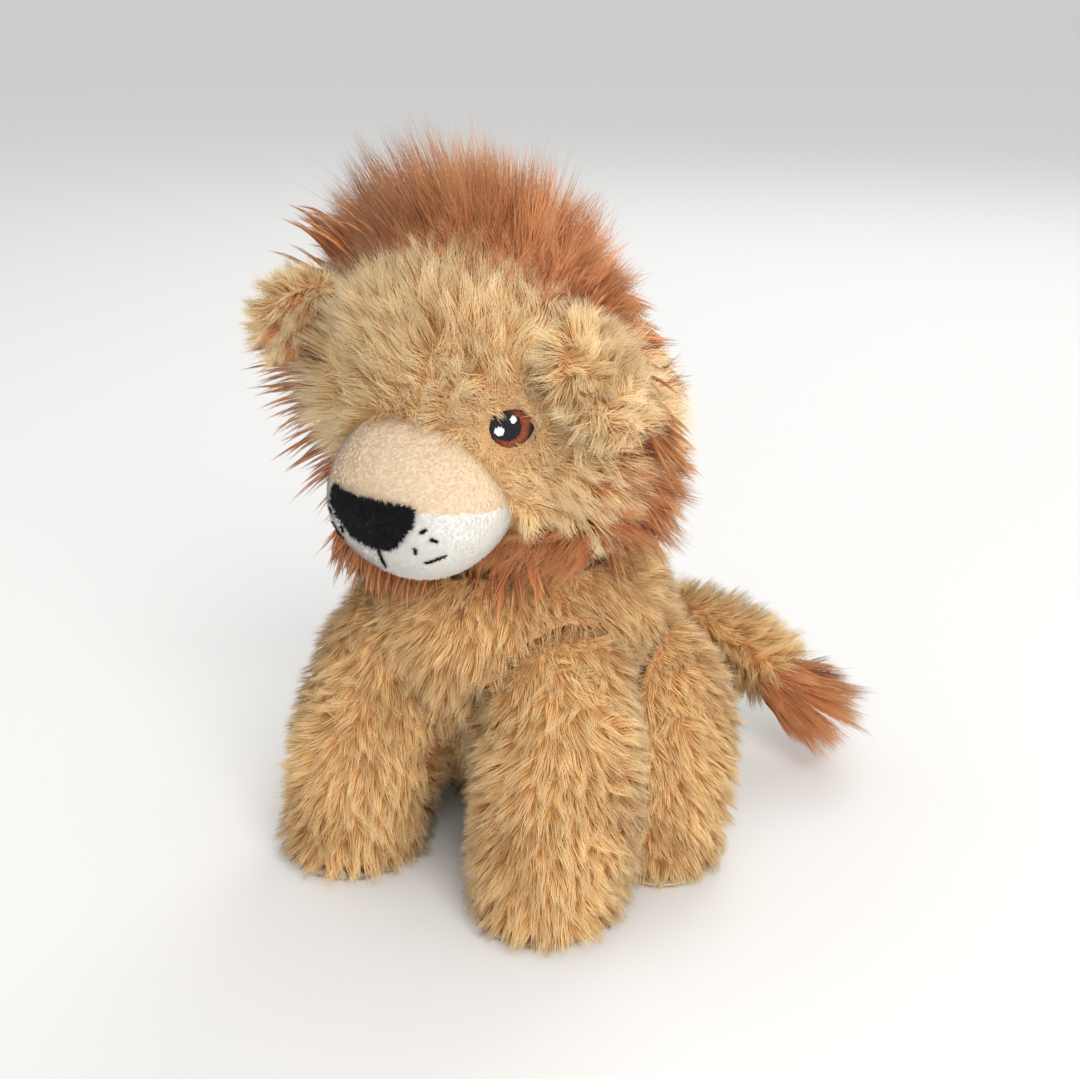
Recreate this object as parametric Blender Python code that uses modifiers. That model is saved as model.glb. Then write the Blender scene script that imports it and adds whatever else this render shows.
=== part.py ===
"""A sitting plush lion, about 0.18 m tall with its crest of mane.

The lion looks along -Y and stands on Z = 0, with its left side at +X. The origin lies under the seat of the
body. Every furry cover is a thick shell, because its wall is the cloth and the pile together. Each cover is
filled with polyester stuffing, and a bag of pellets lies low in the body. The head, the ears, the legs and
the tail each turn about a seam, and the pieces on both sides of it are cut to the same surface.
"""

import math

import bmesh
import bpy
from mathutils import Matrix, Vector

# Gaps, in metres like every other length here.
GAP = 0.0003  # between two pieces that are sewn together
SWING_GAP = 0.0006  # between two pieces that move past each other
REACH = 0.2  # how far a cutting plane runs

# Walls: the cloth with its pile.
FUR_WALL = 0.0050
FACE_WALL = 0.0055
VELOUR_WALL = 0.0022
SOLE_WALL = 0.0022
TAIL_WALL = 0.0035
THREAD = 0.0008  # how thick an embroidered patch is
FINE_THREAD = 0.0005  # how thick a second layer of stitches is

# Flats: how deep the feet and the seat are cut flat where they stand.
FLAT = 0.0005

# Body.
BODY_HEIGHT = 0.087
BODY_HALF_WIDTH = 0.037
BODY_HALF_DEPTH = 0.038
BODY_SIDES = 12
# Each ring: height, half width, half depth and how far back its middle lies.
BODY_RING_SHARES = (
    (0.00, 0.72, 0.60, 0.36),
    (0.03, 0.82, 0.70, 0.34),
    (0.22, 0.94, 0.86, 0.26),
    (0.42, 0.98, 1.00, 0.08),
    (0.58, 1.02, 1.12, -0.10),
    (0.74, 1.04, 1.12, -0.16),
    (0.86, 0.98, 0.98, -0.20),
    (0.95, 0.76, 0.74, -0.22),
    (1.00, 0.42, 0.40, -0.22),
)

# Bag of pellets, low in the body.
BAG_Y = 0.012
BAG_HALF_WIDTH = 0.015
BAG_HALF_DEPTH = 0.015
BAG_HALF_HEIGHT = 0.011

# Neck: the soft ball that the head turns on, sunk into the top of the body.
NECK_RADIUS = 0.026
NECK_FORWARD = 0.010
NECK_SINK = 0.007  # how far its middle lies below the top of the body
NECK_FLAT_DROP = 0.0095  # how far below its middle the ball is cut flat
NECK_Y = -NECK_FORWARD
NECK_Z = BODY_HEIGHT - NECK_SINK

# Head: a frame that is turned and tipped as the lion holds its head.
HEAD_X = 0.001
HEAD_FORWARD = 0.009  # ahead of the neck's middle
HEAD_RISE = 0.0365  # above the neck's middle
HEAD_YAW = math.radians(-8)
HEAD_TIP = math.radians(18)
SKULL_HALF_WIDTH = 0.0455
SKULL_HALF_DEPTH = 0.030
SKULL_HALF_HEIGHT = 0.037
FACE_END = 0.005  # how far behind the head's middle the face ends and the mane begins

# Muzzle, as stacked rings that run forwards from the head's middle: reach, half width, half height and rise.
MUZZLE_REACH = 0.0450
MUZZLE_HALF_WIDTH = 0.0240
MUZZLE_HALF_HEIGHT = 0.0185
MUZZLE_DROP = 0.0070
MUZZLE_SIDES = 10
MUZZLE_RING_SHARES = (
    (0.30, 0.86, 0.94, 0.10),
    (0.55, 1.00, 1.04, 0.06),
    (0.74, 0.98, 0.96, -0.02),
    (0.88, 0.86, 0.80, -0.10),
    (0.97, 0.62, 0.56, -0.14),
    (1.00, 0.30, 0.26, -0.15),
)
MUZZLE_GAP = 0.0004  # between the muzzle and the face round it, whose seam slopes
SEAM_RISE = 0.0001  # how high the seam between the tan top and the white chin lies at the front
SEAM_FALL = math.radians(-19)

# Nose and mouth, measured from the head's middle.
NOSE_HALF_WIDTH = 0.0122
NOSE_TOP = 0.0010
NOSE_BOTTOM = -0.0102
# One side of the nose from the top: how far out and how far down, as shares of its half width and its height.
NOSE_OUTLINE_SHARES = ((0.90, 0.00), (1.00, 0.10), (0.97, 0.36), (0.52, 0.88), (0.27, 1.00))
MOUTH_END = -0.0168
STITCH_HALF_WIDTH = 0.0005
WHISKER_RADIUS = 0.0007
# Each whisker stitch: how far out and how low it lies, as shares of the nose's half width and bottom.
WHISKER_SHARES = ((1.12, 0.42), (1.29, 0.66), (0.90, 0.92))
STITCH_REACH_SHARE = 0.74  # of the muzzle's reach, where the stitches end
SMILE_OUT = 0.0146
SMILE_HALF_WIDTH = 0.0026
SMILE_RISE = -0.0125

# Eyes, embroidered in a hollow of the fur.
EYE_OUT = 0.0235
EYE_RISE = 0.0095
EYE_DEPTH = 0.0047  # how far the stitches lie below the tips of the fur
EYE_TURN = math.radians(34)
EYE_TIP = math.radians(-10)
EYE_TILT = math.radians(18)
EYE_HALF_WIDTH = 0.0060
EYE_HALF_HEIGHT = 0.0049
EYE_HOLLOW = 0.0030
IRIS_SHARE = 0.80
PUPIL_SHARE = 0.56
PUPIL_LIFT_SHARE = 0.16
GLINT_RADIUS = 0.0008
GLINT_APART_SHARE = 0.30
SIDES = 12  # of the small round outlines

# Ears: flaps on a seam at the side of the head.
EAR_SEAM_CLEARANCE = 0.0031  # from the side of the skull, straight out
EAR_FORWARD = 0.0065
EAR_RISE = 0.0175
EAR_LENGTH = 0.0180
EAR_HALF_HEIGHT = 0.0125
EAR_HALF_THICKNESS = 0.0034
EAR_LINING_SHARE = 0.30
LEFT_EAR_FOLD = math.radians(78)
RIGHT_EAR_FOLD = math.radians(62)

# Mane, measured from the head's middle.
CREST_INSET = 0.0025  # how far its ends lie inside the sides of the skull
CREST_HALF_WIDTH = SKULL_HALF_WIDTH - CREST_INSET
CREST_HALF_DEPTH = 0.0115
CREST_HALF_HEIGHT = 0.0350
CREST_Y = 0.0040
CREST_RISE = 0.0255
CREST_LEAN = math.radians(-14)
CREST_FOOT = 0.0040
LOCKS_SINK = 0.0070  # how far their middle lies inside the side of the skull
LOCKS_Y = -0.0020
LOCKS_RISE = -0.0080
LOCKS_HALF_WIDTH = 0.0160
LOCKS_HALF_DEPTH = 0.0120
LOCKS_HALF_HEIGHT = 0.0270
LOCKS_TOP = 0.0030
LOCKS_FOOT = -0.0290
RUFF_HALF_WIDTH = 0.0380
RUFF_HALF_DEPTH = 0.0150
RUFF_HALF_HEIGHT = 0.0170
RUFF_Y = -0.0170
RUFF_RISE = -0.0270
RUFF_FLOOR_RISE = 0.0038  # above the neck's middle, where the ruff is cut flat over the chest

# Front legs: fat columns, whose tops are round about the shoulder's axis.
SHOULDER_SINK = 0.0120  # how far the shoulder lies inside the body's half width
SHOULDER_BACK = 0.0100  # how far it lies behind the body's half depth
SHOULDER_DROP = 0.0185  # how far it lies below the top of the leg
FRONT_LEG_HEIGHT = 0.0685
FRONT_LEG_HALF_WIDTH = 0.0212
FRONT_LEG_HALF_DEPTH = 0.0210
SHOULDER_GAP = 0.0008  # all round the leg, where it turns in the body
# The hollow in the chest that the leg swings into: its place from the shoulder, and its half sizes.
RELIEF_IN = 0.0140
RELIEF_FORWARD = 0.0125
RELIEF_DROP = 0.0040
RELIEF_HALVES = Vector((0.0058, 0.0062, 0.0105))
LEG_SIDES = 8
# Each ring: height, half width, half depth, and where its middle lies, out and forwards of the shoulder.
FRONT_LEG_RING_SHARES = (
    (0.00, 0.78, 0.84, 0.13, 0.62),
    (0.04, 0.90, 0.94, 0.13, 0.60),
    (0.24, 1.00, 1.00, 0.11, 0.46),
    (0.50, 1.00, 0.98, 0.07, 0.26),
    (0.70, 0.92, 0.88, 0.00, 0.03),
    (0.84, 0.79, 0.79, -0.03, 0.00),
    (0.93, 0.58, 0.59, -0.03, 0.00),
    (0.98, 0.34, 0.34, -0.03, 0.00),
    (1.00, 0.12, 0.12, -0.03, 0.00),
)

# Hind legs: haunches that lie flat against the sides of the body.
HIP_SINK = 0.0032  # how far the flat of the hip lies inside the body's half width
HIP_X = BODY_HALF_WIDTH - HIP_SINK
HIP_Y = 0.0060
HIP_Z = 0.0250
HIP_RADIUS = 0.0370
HIND_LEG_SWING = math.radians(10)
HIND_LEG_HEIGHT = 0.0600
HIND_LEG_HALF_WIDTH = 0.0195
HIND_LEG_HALF_DEPTH = 0.0215
# Each ring: height, half width, half depth, and where its middle lies, out of the hip and forwards of it.
HIND_LEG_RING_SHARES = (
    (0.00, 0.66, 0.66, 0.44, 0.64),
    (0.04, 0.76, 0.76, 0.44, 0.62),
    (0.26, 0.92, 0.92, 0.32, 0.40),
    (0.55, 0.96, 1.00, 0.16, 0.10),
    (0.78, 0.86, 0.92, -0.08, -0.05),
    (0.93, 0.60, 0.66, -0.22, -0.08),
    (1.00, 0.26, 0.30, -0.22, -0.08),
)

# Tail: a stuffed tube that curves to the lion's left, with a tuft at its end.
TAIL_OUT = 0.0035  # how far the middle of its root lies behind the body's half depth
TAIL_ROOT = Vector((0.0020, BODY_HALF_DEPTH + TAIL_OUT, 0.0300))
TAIL_BALL_RADIUS = 0.0100
TAIL_RADIUS = 0.0085
# The tail's route, as steps from its root, and where the tuft ends.
TAIL_ROUTE = (
    Vector((0.0010, 0.0105, 0.0025)),
    Vector((0.0100, 0.0195, 0.0050)),
    Vector((0.0290, 0.0205, 0.0030)),
    Vector((0.0430, 0.0185, -0.0070)),
)
TUFT_END = Vector((0.0630, 0.0195, -0.0185))
TUFT_HALF_WIDTH = 0.0115
TUFT_SIDES = 8
# Each ring of the tuft: how far along it lies, and its half width.
TUFT_RING_SHARES = ((0.00, 0.66), (0.30, 0.84), (0.62, 1.00), (0.88, 0.84), (1.00, 0.48))

TAN = (0.62, 0.40, 0.18)
RUST = (0.50, 0.19, 0.08)
CREAM = (0.78, 0.58, 0.36)
WHITE = (0.76, 0.75, 0.68)
BLACK = (0.015, 0.011, 0.013)
BROWN = (0.30, 0.09, 0.03)
FILLING = (0.85, 0.85, 0.83)

HEAD = (
    Matrix.Translation((HEAD_X, NECK_Y - HEAD_FORWARD, NECK_Z + HEAD_RISE))
    @ Matrix.Rotation(HEAD_YAW, 4, "Z")
    @ Matrix.Rotation(HEAD_TIP, 4, "X")
)
WORLD = Matrix.Identity(4)
ALONG_Y = Matrix.Rotation(math.pi / 2, 4, "X")  # turns a stack of rings from +Z to -Y
SIDE_SIGNS = (("left", 1), ("right", -1))


def clear_scene():
    for thing in list(bpy.data.objects):
        bpy.data.objects.remove(thing, do_unlink=True)


def collection(name):
    made = bpy.data.collections.new(name)
    bpy.context.scene.collection.children.link(made)
    return made


def material(name, colour, roughness):
    made = bpy.data.materials.new(name)
    made.use_nodes = True
    shader = made.node_tree.nodes["Principled BSDF"]
    shader.inputs["Base Color"].default_value = (*colour, 1)
    shader.inputs["Roughness"].default_value = roughness
    shader.inputs["Metallic"].default_value = 0
    return made


clear_scene()
LION = collection("plush_lion")
CUTTERS = collection("cutters")
CLOTHS = {
    "tan_fur": material("tan_fur", TAN, 0.95),
    "rust_fur": material("rust_fur", RUST, 0.8),
    "cream_velour": material("cream_velour", CREAM, 0.9),
    "white_velour": material("white_velour", WHITE, 0.9),
    "black_thread": material("black_thread", BLACK, 0.6),
    "brown_thread": material("brown_thread", BROWN, 0.5),
    "white_thread": material("white_thread", WHITE, 0.5),
    "filling": material("filling", FILLING, 1.0),
}


def pivot(name, place):
    """An empty on a joint's axis, which carries the pieces that turn there."""
    made = bpy.data.objects.new(name, None)
    made.location = place
    LION.objects.link(made)
    return made


def as_piece(thing, cloth, carrier=None):
    LION.objects.link(thing)
    thing.data.materials.append(CLOTHS[cloth])
    if carrier is not None:
        placed = thing.matrix_basis.copy()
        thing.parent = carrier
        thing.matrix_basis = Matrix.Translation(carrier.location).inverted() @ placed
    return thing


def as_cutter(thing):
    CUTTERS.objects.link(thing)
    thing.hide_render = True
    thing.display_type = "WIRE"
    return thing


def object_of(name, shape, frame=WORLD):
    mesh = bpy.data.meshes.new(name)
    shape.to_mesh(mesh)
    shape.free()
    mesh.shade_smooth()
    made = bpy.data.objects.new(name, mesh)
    made.matrix_basis = frame
    return made


def boolean(thing, other, operation="DIFFERENCE"):
    step = thing.modifiers.new(other.name, "BOOLEAN")
    step.operation = operation
    step.object = other


def sphere(name, middle, halves, segments=18, frame=WORLD, turn=WORLD):
    """An ellipsoid with these half sizes."""
    shape = bmesh.new()
    bmesh.ops.create_uvsphere(shape, u_segments=segments, v_segments=segments * 2 // 3, radius=1)
    bmesh.ops.scale(shape, vec=Vector(halves), verts=shape.verts)
    return object_of(name, shape, frame @ Matrix.Translation(middle) @ turn)


def block(name, low, high, frame=WORLD):
    """A box between two corners."""
    low, high = Vector(low), Vector(high)
    shape = bmesh.new()
    bmesh.ops.create_cube(shape, size=1)
    bmesh.ops.scale(shape, vec=high - low, verts=shape.verts)
    return object_of(name, shape, frame @ Matrix.Translation((low + high) / 2))


def loft(name, rings, sides, frame=WORLD, rounded=True):
    """Stacked elliptical rings, closed at both ends. What shows is rounded once.

    Each ring is its height, half width, half depth and the place of its middle. The rounding draws a ring in,
    so the cage is made that much wider.
    """
    spread = 8 / (6 + 2 * math.cos(math.tau / sides)) if rounded else 1
    shape = bmesh.new()
    hoops = []
    for height, half_width, half_depth, x, y in rings:
        points = bmesh.ops.create_circle(shape, cap_ends=False, segments=sides, radius=spread)["verts"]
        bmesh.ops.scale(shape, vec=(half_width, half_depth, 1), verts=points)
        bmesh.ops.translate(shape, vec=(x, y, height), verts=points)
        hoops.append(list({edge for point in points for edge in point.link_edges}))
    for lower, upper in zip(hoops, hoops[1:]):
        bmesh.ops.bridge_loops(shape, edges=lower + upper)
    bmesh.ops.edgeloop_fill(shape, edges=hoops[0])
    bmesh.ops.edgeloop_fill(shape, edges=hoops[-1])
    bmesh.ops.recalc_face_normals(shape, faces=shape.faces)
    made = object_of(name, shape, frame)
    if rounded:
        rounding = made.modifiers.new("rounding", "SUBSURF")
        rounding.levels = 1
        rounding.render_levels = 1
    return made


def prism(name, outline, low, high, frame=WORLD):
    """A flat outline in X and Z that runs along Y from low to high."""
    shape = bmesh.new()
    face = shape.faces.new([shape.verts.new((x, low, z)) for x, z in outline])
    pushed = bmesh.ops.extrude_face_region(shape, geom=[face])["geom"]
    moved = [element for element in pushed if isinstance(element, bmesh.types.BMVert)]
    bmesh.ops.translate(shape, vec=(0, high - low, 0), verts=moved)
    bmesh.ops.recalc_face_normals(shape, faces=shape.faces)
    return object_of(name, shape, frame)


def ellipse(half_width, half_height, middle=(0, 0)):
    """The points of an ellipse in X and Z."""
    points = []
    for number in range(SIDES):
        angle = math.tau * number / SIDES
        points.append((middle[0] + half_width * math.cos(angle), middle[1] + half_height * math.sin(angle)))
    return points


def about_x(place, angle):
    """A turn about the line along X through a place."""
    place = Vector(place)
    return Matrix.Translation(place) @ Matrix.Rotation(angle, 4, "X") @ Matrix.Translation(-place)


# The ground, which cuts the seat and the feet flat.
floor_cut = as_cutter(block("floor_cut", (-REACH, -REACH, -REACH), (REACH, REACH, 0)))


def body_rings(wall, foot):
    """The body's rings, drawn in by a wall at the sides and the top, from a foot level upwards."""
    rings = []
    for height, width, depth, back in BODY_RING_SHARES:
        rings.append(
            (
                foot + height * (BODY_HEIGHT - wall - foot),
                max(width * BODY_HALF_WIDTH - wall, wall),
                max(depth * BODY_HALF_DEPTH - wall, wall / 2),
                0,
                back * BODY_HALF_DEPTH,
            )
        )
    return rings


def leg_rings(ring_shares, height, half_width, half_depth, sign, x, y, wall, margin=0.0):
    """A leg's rings, drawn in by a wall or let out by a margin."""
    rings = []
    for level, width, depth, out, forwards in ring_shares:
        z = level * (height + FLAT) - FLAT
        if wall:
            z = z * (height - wall) / height
        grown = margin - wall
        rings.append(
            (
                z + (margin if level > 0.5 else -margin),
                max(width * half_width + grown, FUR_WALL / 3),
                max(depth * half_depth + grown, FUR_WALL / 3),
                sign * (x + out * half_width),
                y - forwards * half_depth,
            )
        )
    return rings


def shoulder_place(sign):
    return (
        sign * (BODY_HALF_WIDTH - SHOULDER_SINK),
        SHOULDER_BACK - BODY_HALF_DEPTH,
        FRONT_LEG_HEIGHT - SHOULDER_DROP,
    )


def front_leg_form(name, sign, wall=0.0, margin=0.0, frame=WORLD):
    x, y, _ = shoulder_place(1)
    rings = leg_rings(
        FRONT_LEG_RING_SHARES,
        FRONT_LEG_HEIGHT,
        FRONT_LEG_HALF_WIDTH,
        FRONT_LEG_HALF_DEPTH,
        sign,
        x,
        y,
        wall,
        margin,
    )
    return loft(name, rings, LEG_SIDES, frame, rounded=not wall)


def hind_leg_form(name, sign, wall=0.0, margin=0.0):
    rings = leg_rings(
        HIND_LEG_RING_SHARES,
        HIND_LEG_HEIGHT,
        HIND_LEG_HALF_WIDTH,
        HIND_LEG_HALF_DEPTH,
        sign,
        HIP_X,
        HIP_Y,
        wall,
        margin,
    )
    return loft(name, rings, LEG_SIDES, rounded=not wall)


def hip_disc(name, sign):
    """The round flat that takes a haunch: everything outside HIP_X near the hip."""
    shape = bmesh.new()
    bmesh.ops.create_cone(
        shape, cap_ends=True, segments=24, radius1=HIP_RADIUS, radius2=HIP_RADIUS, depth=BODY_HALF_WIDTH
    )
    frame = Matrix.Translation((sign * (HIP_X + BODY_HALF_WIDTH / 2), HIP_Y, HIP_Z))
    return object_of(name, shape, frame @ Matrix.Rotation(math.pi / 2, 4, "Y"))


def make_body():
    """The body's two halves of cover, its seat, its stuffing, the bag of pellets and the ball of the neck."""
    neck_middle = (0, NECK_Y, NECK_Z)
    neck_seat = as_cutter(sphere("neck_seat", neck_middle, (NECK_RADIUS + SWING_GAP,) * 3))
    low = (-REACH, -REACH, -REACH)
    flat = NECK_Z - NECK_FLAT_DROP
    boolean(neck_seat, as_cutter(block("neck_seat_foot", low, (REACH, REACH, flat))))
    tail_seat = sphere("tail_seat", TAIL_ROOT, (TAIL_BALL_RADIUS + SWING_GAP,) * 3, segments=14)
    leg_seats = []
    for side, sign in SIDE_SIGNS:
        path = front_leg_form(f"front_leg_path_{side}", sign, margin=SHOULDER_GAP)
        x, y, z = shoulder_place(sign)
        hollow = (x - sign * RELIEF_IN, y - RELIEF_FORWARD, z - RELIEF_DROP)
        relief = sphere(f"chest_relief_{side}", hollow, RELIEF_HALVES, 12)
        leg_seats += [as_cutter(path), as_cutter(relief)]
        leg_seats.append(as_cutter(hip_disc(f"hip_seat_{side}", sign)))
    seats = [neck_seat, as_cutter(tail_seat), *leg_seats]

    outer = as_cutter(loft("body_form", body_rings(0, -FLAT), BODY_SIDES))
    hollow = as_cutter(loft("body_hollow", body_rings(FUR_WALL, FUR_WALL / 2), BODY_SIDES - 4))
    for side, sign in SIDE_SIGNS:
        near, far = sorted((sign * GAP / 2, sign * REACH))
        start = (near, -REACH, FUR_WALL + GAP)
        half = as_piece(block(f"body_cover_{side}", start, (far, REACH, REACH)), "tan_fur")
        boolean(half, outer, "INTERSECT")
        boolean(half, hollow)
        for seat in seats:
            boolean(half, seat)

    seat = as_piece(loft("seat_panel", body_rings(0, -FLAT), BODY_SIDES), "tan_fur")
    seat_top = as_cutter(block("seat_top", (-REACH, -REACH, FUR_WALL), (REACH, REACH, REACH)))
    for cutter in (*leg_seats, seat_top, floor_cut):
        boolean(seat, cutter)

    filled = body_rings(FUR_WALL + GAP, FUR_WALL / 2)
    floor = as_cutter(block("stuffing_floor", low, (REACH, REACH, FUR_WALL + GAP)))
    stuffing = as_piece(loft("body_stuffing", filled, BODY_SIDES - 4), "filling")
    boolean(stuffing, floor)
    bag_halves = Vector((BAG_HALF_WIDTH, BAG_HALF_DEPTH, BAG_HALF_HEIGHT))
    bag_middle = Vector((0, BAG_Y, FUR_WALL + BAG_HALF_HEIGHT / 2))
    bag = as_piece(sphere("pellet_bag", bag_middle, bag_halves, segments=14), "filling")
    inside = as_cutter(loft("body_inside", filled, BODY_SIDES - 4))
    boolean(inside, floor)
    boolean(bag, inside, "INTERSECT")
    room = as_cutter(sphere("bag_room", bag_middle, bag_halves + Vector((GAP,) * 3), segments=14))
    boolean(stuffing, room)
    for seat in seats:
        boolean(stuffing, seat)

    neck = pivot("neck_pivot", neck_middle)
    ball = as_piece(sphere("neck_stuffing", neck_middle, (NECK_RADIUS,) * 3), "filling", neck)
    boolean(ball, as_cutter(block("neck_foot", low, (REACH, REACH, flat + GAP))))
    return neck


def make_leg(kind, side, sign, form, place, trims):
    """A leg's cover, stuffing and sole on its joint. Trims are cutters for all three."""
    carrier = pivot(f"{kind}_leg_pivot_{side}", place)
    sole_top = as_cutter(block(f"{kind}_sole_top_{side}", (-REACH, -REACH, SOLE_WALL), (REACH, REACH, REACH)))
    above = as_cutter(
        block(f"{kind}_sole_room_{side}", (-REACH, -REACH, -REACH), (REACH, REACH, SOLE_WALL + GAP))
    )
    cover = as_piece(form(f"{kind}_leg_cover_{side}", sign), "tan_fur", carrier)
    boolean(cover, above)
    boolean(cover, as_cutter(form(f"{kind}_leg_hollow_{side}", sign, wall=FUR_WALL)))
    stuffing = as_piece(form(f"{kind}_leg_stuffing_{side}", sign, wall=FUR_WALL + GAP), "filling", carrier)
    boolean(stuffing, above)
    sole = as_piece(form(f"{kind}_sole_{side}", sign), "cream_velour", carrier)
    for piece in (cover, stuffing, sole):
        for trim in trims:
            boolean(piece, trim)
    boolean(sole, floor_cut)
    boolean(sole, sole_top)
    return carrier


def make_legs():
    for side, sign in SIDE_SIGNS:
        shoulder = shoulder_place(sign)
        make_leg("front", side, sign, front_leg_form, shoulder, [])
        low = (-REACH, -REACH, -REACH) if sign > 0 else (-HIP_X - SWING_GAP, -REACH, -REACH)
        high = (HIP_X + SWING_GAP, REACH, REACH) if sign > 0 else (REACH, REACH, REACH)
        hip_face = as_cutter(block(f"hip_face_{side}", low, high))
        hip = (sign * HIP_X, HIP_Y, HIP_Z)
        trims = [hip_face]
        for step in (0, 1):
            swung = about_x(hip, -HIND_LEG_SWING * step)
            room = front_leg_form(f"front_leg_room_{side}_{step}", sign, margin=SWING_GAP, frame=swung)
            trims.append(as_cutter(room))
        make_leg("hind", side, sign, hind_leg_form, hip, trims)


def muzzle_form(name, margin=0.0):
    """The muzzle, let out by a margin or drawn in by a negative one."""
    rings = []
    for reach, width, height, rise in MUZZLE_RING_SHARES:
        rings.append(
            (
                reach * MUZZLE_REACH + (margin if reach > 0.5 else -margin),
                width * MUZZLE_HALF_WIDTH + margin,
                height * MUZZLE_HALF_HEIGHT + margin,
                0,
                rise * MUZZLE_HALF_HEIGHT - MUZZLE_DROP,
            )
        )
    return loft(name, rings, MUZZLE_SIDES, HEAD @ ALONG_Y)


def skull_form(name, margin=0.0, segments=24):
    halves = Vector((SKULL_HALF_WIDTH, SKULL_HALF_DEPTH, SKULL_HALF_HEIGHT)) + Vector((margin,) * 3)
    return sphere(name, (0, 0, 0), halves, segments, HEAD)


def make_head(carrier):
    """The face, the back of the head, the stuffing, the muzzle, the nose and the mouth."""
    neck_seat = as_cutter(
        sphere("neck_seat_above", (0, NECK_Y, NECK_Z), (NECK_RADIUS + SWING_GAP,) * 3)
    )
    skull_hollow = as_cutter(skull_form("skull_hollow", -FACE_WALL, segments=16))
    muzzle_room = as_cutter(muzzle_form("muzzle_room", MUZZLE_GAP))
    behind = as_cutter(block("face_end", (-REACH, FACE_END, -REACH), (REACH, REACH, REACH), HEAD))
    before = as_cutter(block("back_end", (-REACH, -REACH, -REACH), (REACH, FACE_END + GAP, REACH), HEAD))

    face = as_piece(skull_form("face_cover"), "tan_fur", carrier)
    for cutter in (behind, neck_seat, skull_hollow, muzzle_room):
        boolean(face, cutter)
    back = as_piece(skull_form("head_back_cover"), "rust_fur", carrier)
    for cutter in (before, skull_hollow, neck_seat):
        boolean(back, cutter)

    filling = as_piece(skull_form("head_stuffing", -FACE_WALL - GAP, segments=16), "filling", carrier)
    boolean(filling, as_cutter(muzzle_form("muzzle_filling", -VELOUR_WALL - MUZZLE_GAP)), "UNION")
    boolean(filling, neck_seat)

    fall = Matrix.Translation((0, -MUZZLE_REACH, SEAM_RISE)) @ Matrix.Rotation(SEAM_FALL, 4, "X")
    seam = HEAD @ fall
    below = as_cutter(block("seam_below", (-REACH, -REACH, -REACH), (REACH, REACH, GAP / 2), seam))
    over = as_cutter(block("seam_over", (-REACH, -REACH, -GAP / 2), (REACH, REACH, REACH), seam))
    hollow = as_cutter(muzzle_form("muzzle_hollow", -VELOUR_WALL))
    inside = as_cutter(skull_form("skull_inside", -FACE_WALL, segments=16))
    for name, cloth, cutter in (
        ("muzzle_top", "cream_velour", below),
        ("muzzle_chin", "white_velour", over),
    ):
        cover = as_piece(muzzle_form(name), cloth, carrier)
        for cut in (cutter, hollow, inside, neck_seat):
            boolean(cover, cut)
    make_nose_and_mouth(carrier)
    make_eyes(carrier, face)


def stitched(name, outline, cloth, carrier, thickness):
    """A patch of stitches that follows the front of the muzzle within an outline."""
    end = -MUZZLE_REACH * STITCH_REACH_SHARE
    patch = as_piece(prism(name, outline, -REACH, end, HEAD), cloth, carrier)
    boolean(patch, as_cutter(muzzle_form(f"{name}_front", GAP + thickness)), "INTERSECT")
    boolean(patch, muzzle_outside())
    return patch


def muzzle_outside():
    found = CUTTERS.objects.get("muzzle_outside")
    return found or as_cutter(muzzle_form("muzzle_outside", GAP))


def make_nose_and_mouth(carrier):
    height = NOSE_TOP - NOSE_BOTTOM
    nose_side = [(out * NOSE_HALF_WIDTH, NOSE_TOP - down * height) for out, down in NOSE_OUTLINE_SHARES]
    nose_outline = nose_side + [(-x, z) for x, z in reversed(nose_side)]
    stitched("nose", nose_outline, "black_thread", carrier, THREAD)
    wide = STITCH_HALF_WIDTH
    mouth_top = NOSE_BOTTOM - GAP
    mouth_outline = ((-wide, MOUTH_END), (wide, MOUTH_END), (wide, mouth_top), (-wide, mouth_top))
    stitched("mouth_stitch", mouth_outline, "black_thread", carrier, FINE_THREAD)
    for side, sign in SIDE_SIGNS:
        low, high = SMILE_OUT - SMILE_HALF_WIDTH, SMILE_OUT + SMILE_HALF_WIDTH
        smile_outline = (
            (sign * low, SMILE_RISE - wide),
            (sign * SMILE_OUT, SMILE_RISE),
            (sign * high, SMILE_RISE + 2 * wide),
            (sign * high, SMILE_RISE + 4 * wide),
            (sign * SMILE_OUT, SMILE_RISE + 2 * wide),
            (sign * low, SMILE_RISE + wide),
        )
        stitched(f"smile_stitch_{side}", smile_outline, "black_thread", carrier, FINE_THREAD)
        for number, (out, low_share) in enumerate(WHISKER_SHARES, 1):
            middle = (sign * out * NOSE_HALF_WIDTH, low_share * NOSE_BOTTOM)
            dot = ellipse(WHISKER_RADIUS, WHISKER_RADIUS, middle)[::2]
            stitched(f"whisker_stitch_{side}_{number}", dot, "black_thread", carrier, FINE_THREAD)


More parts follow.
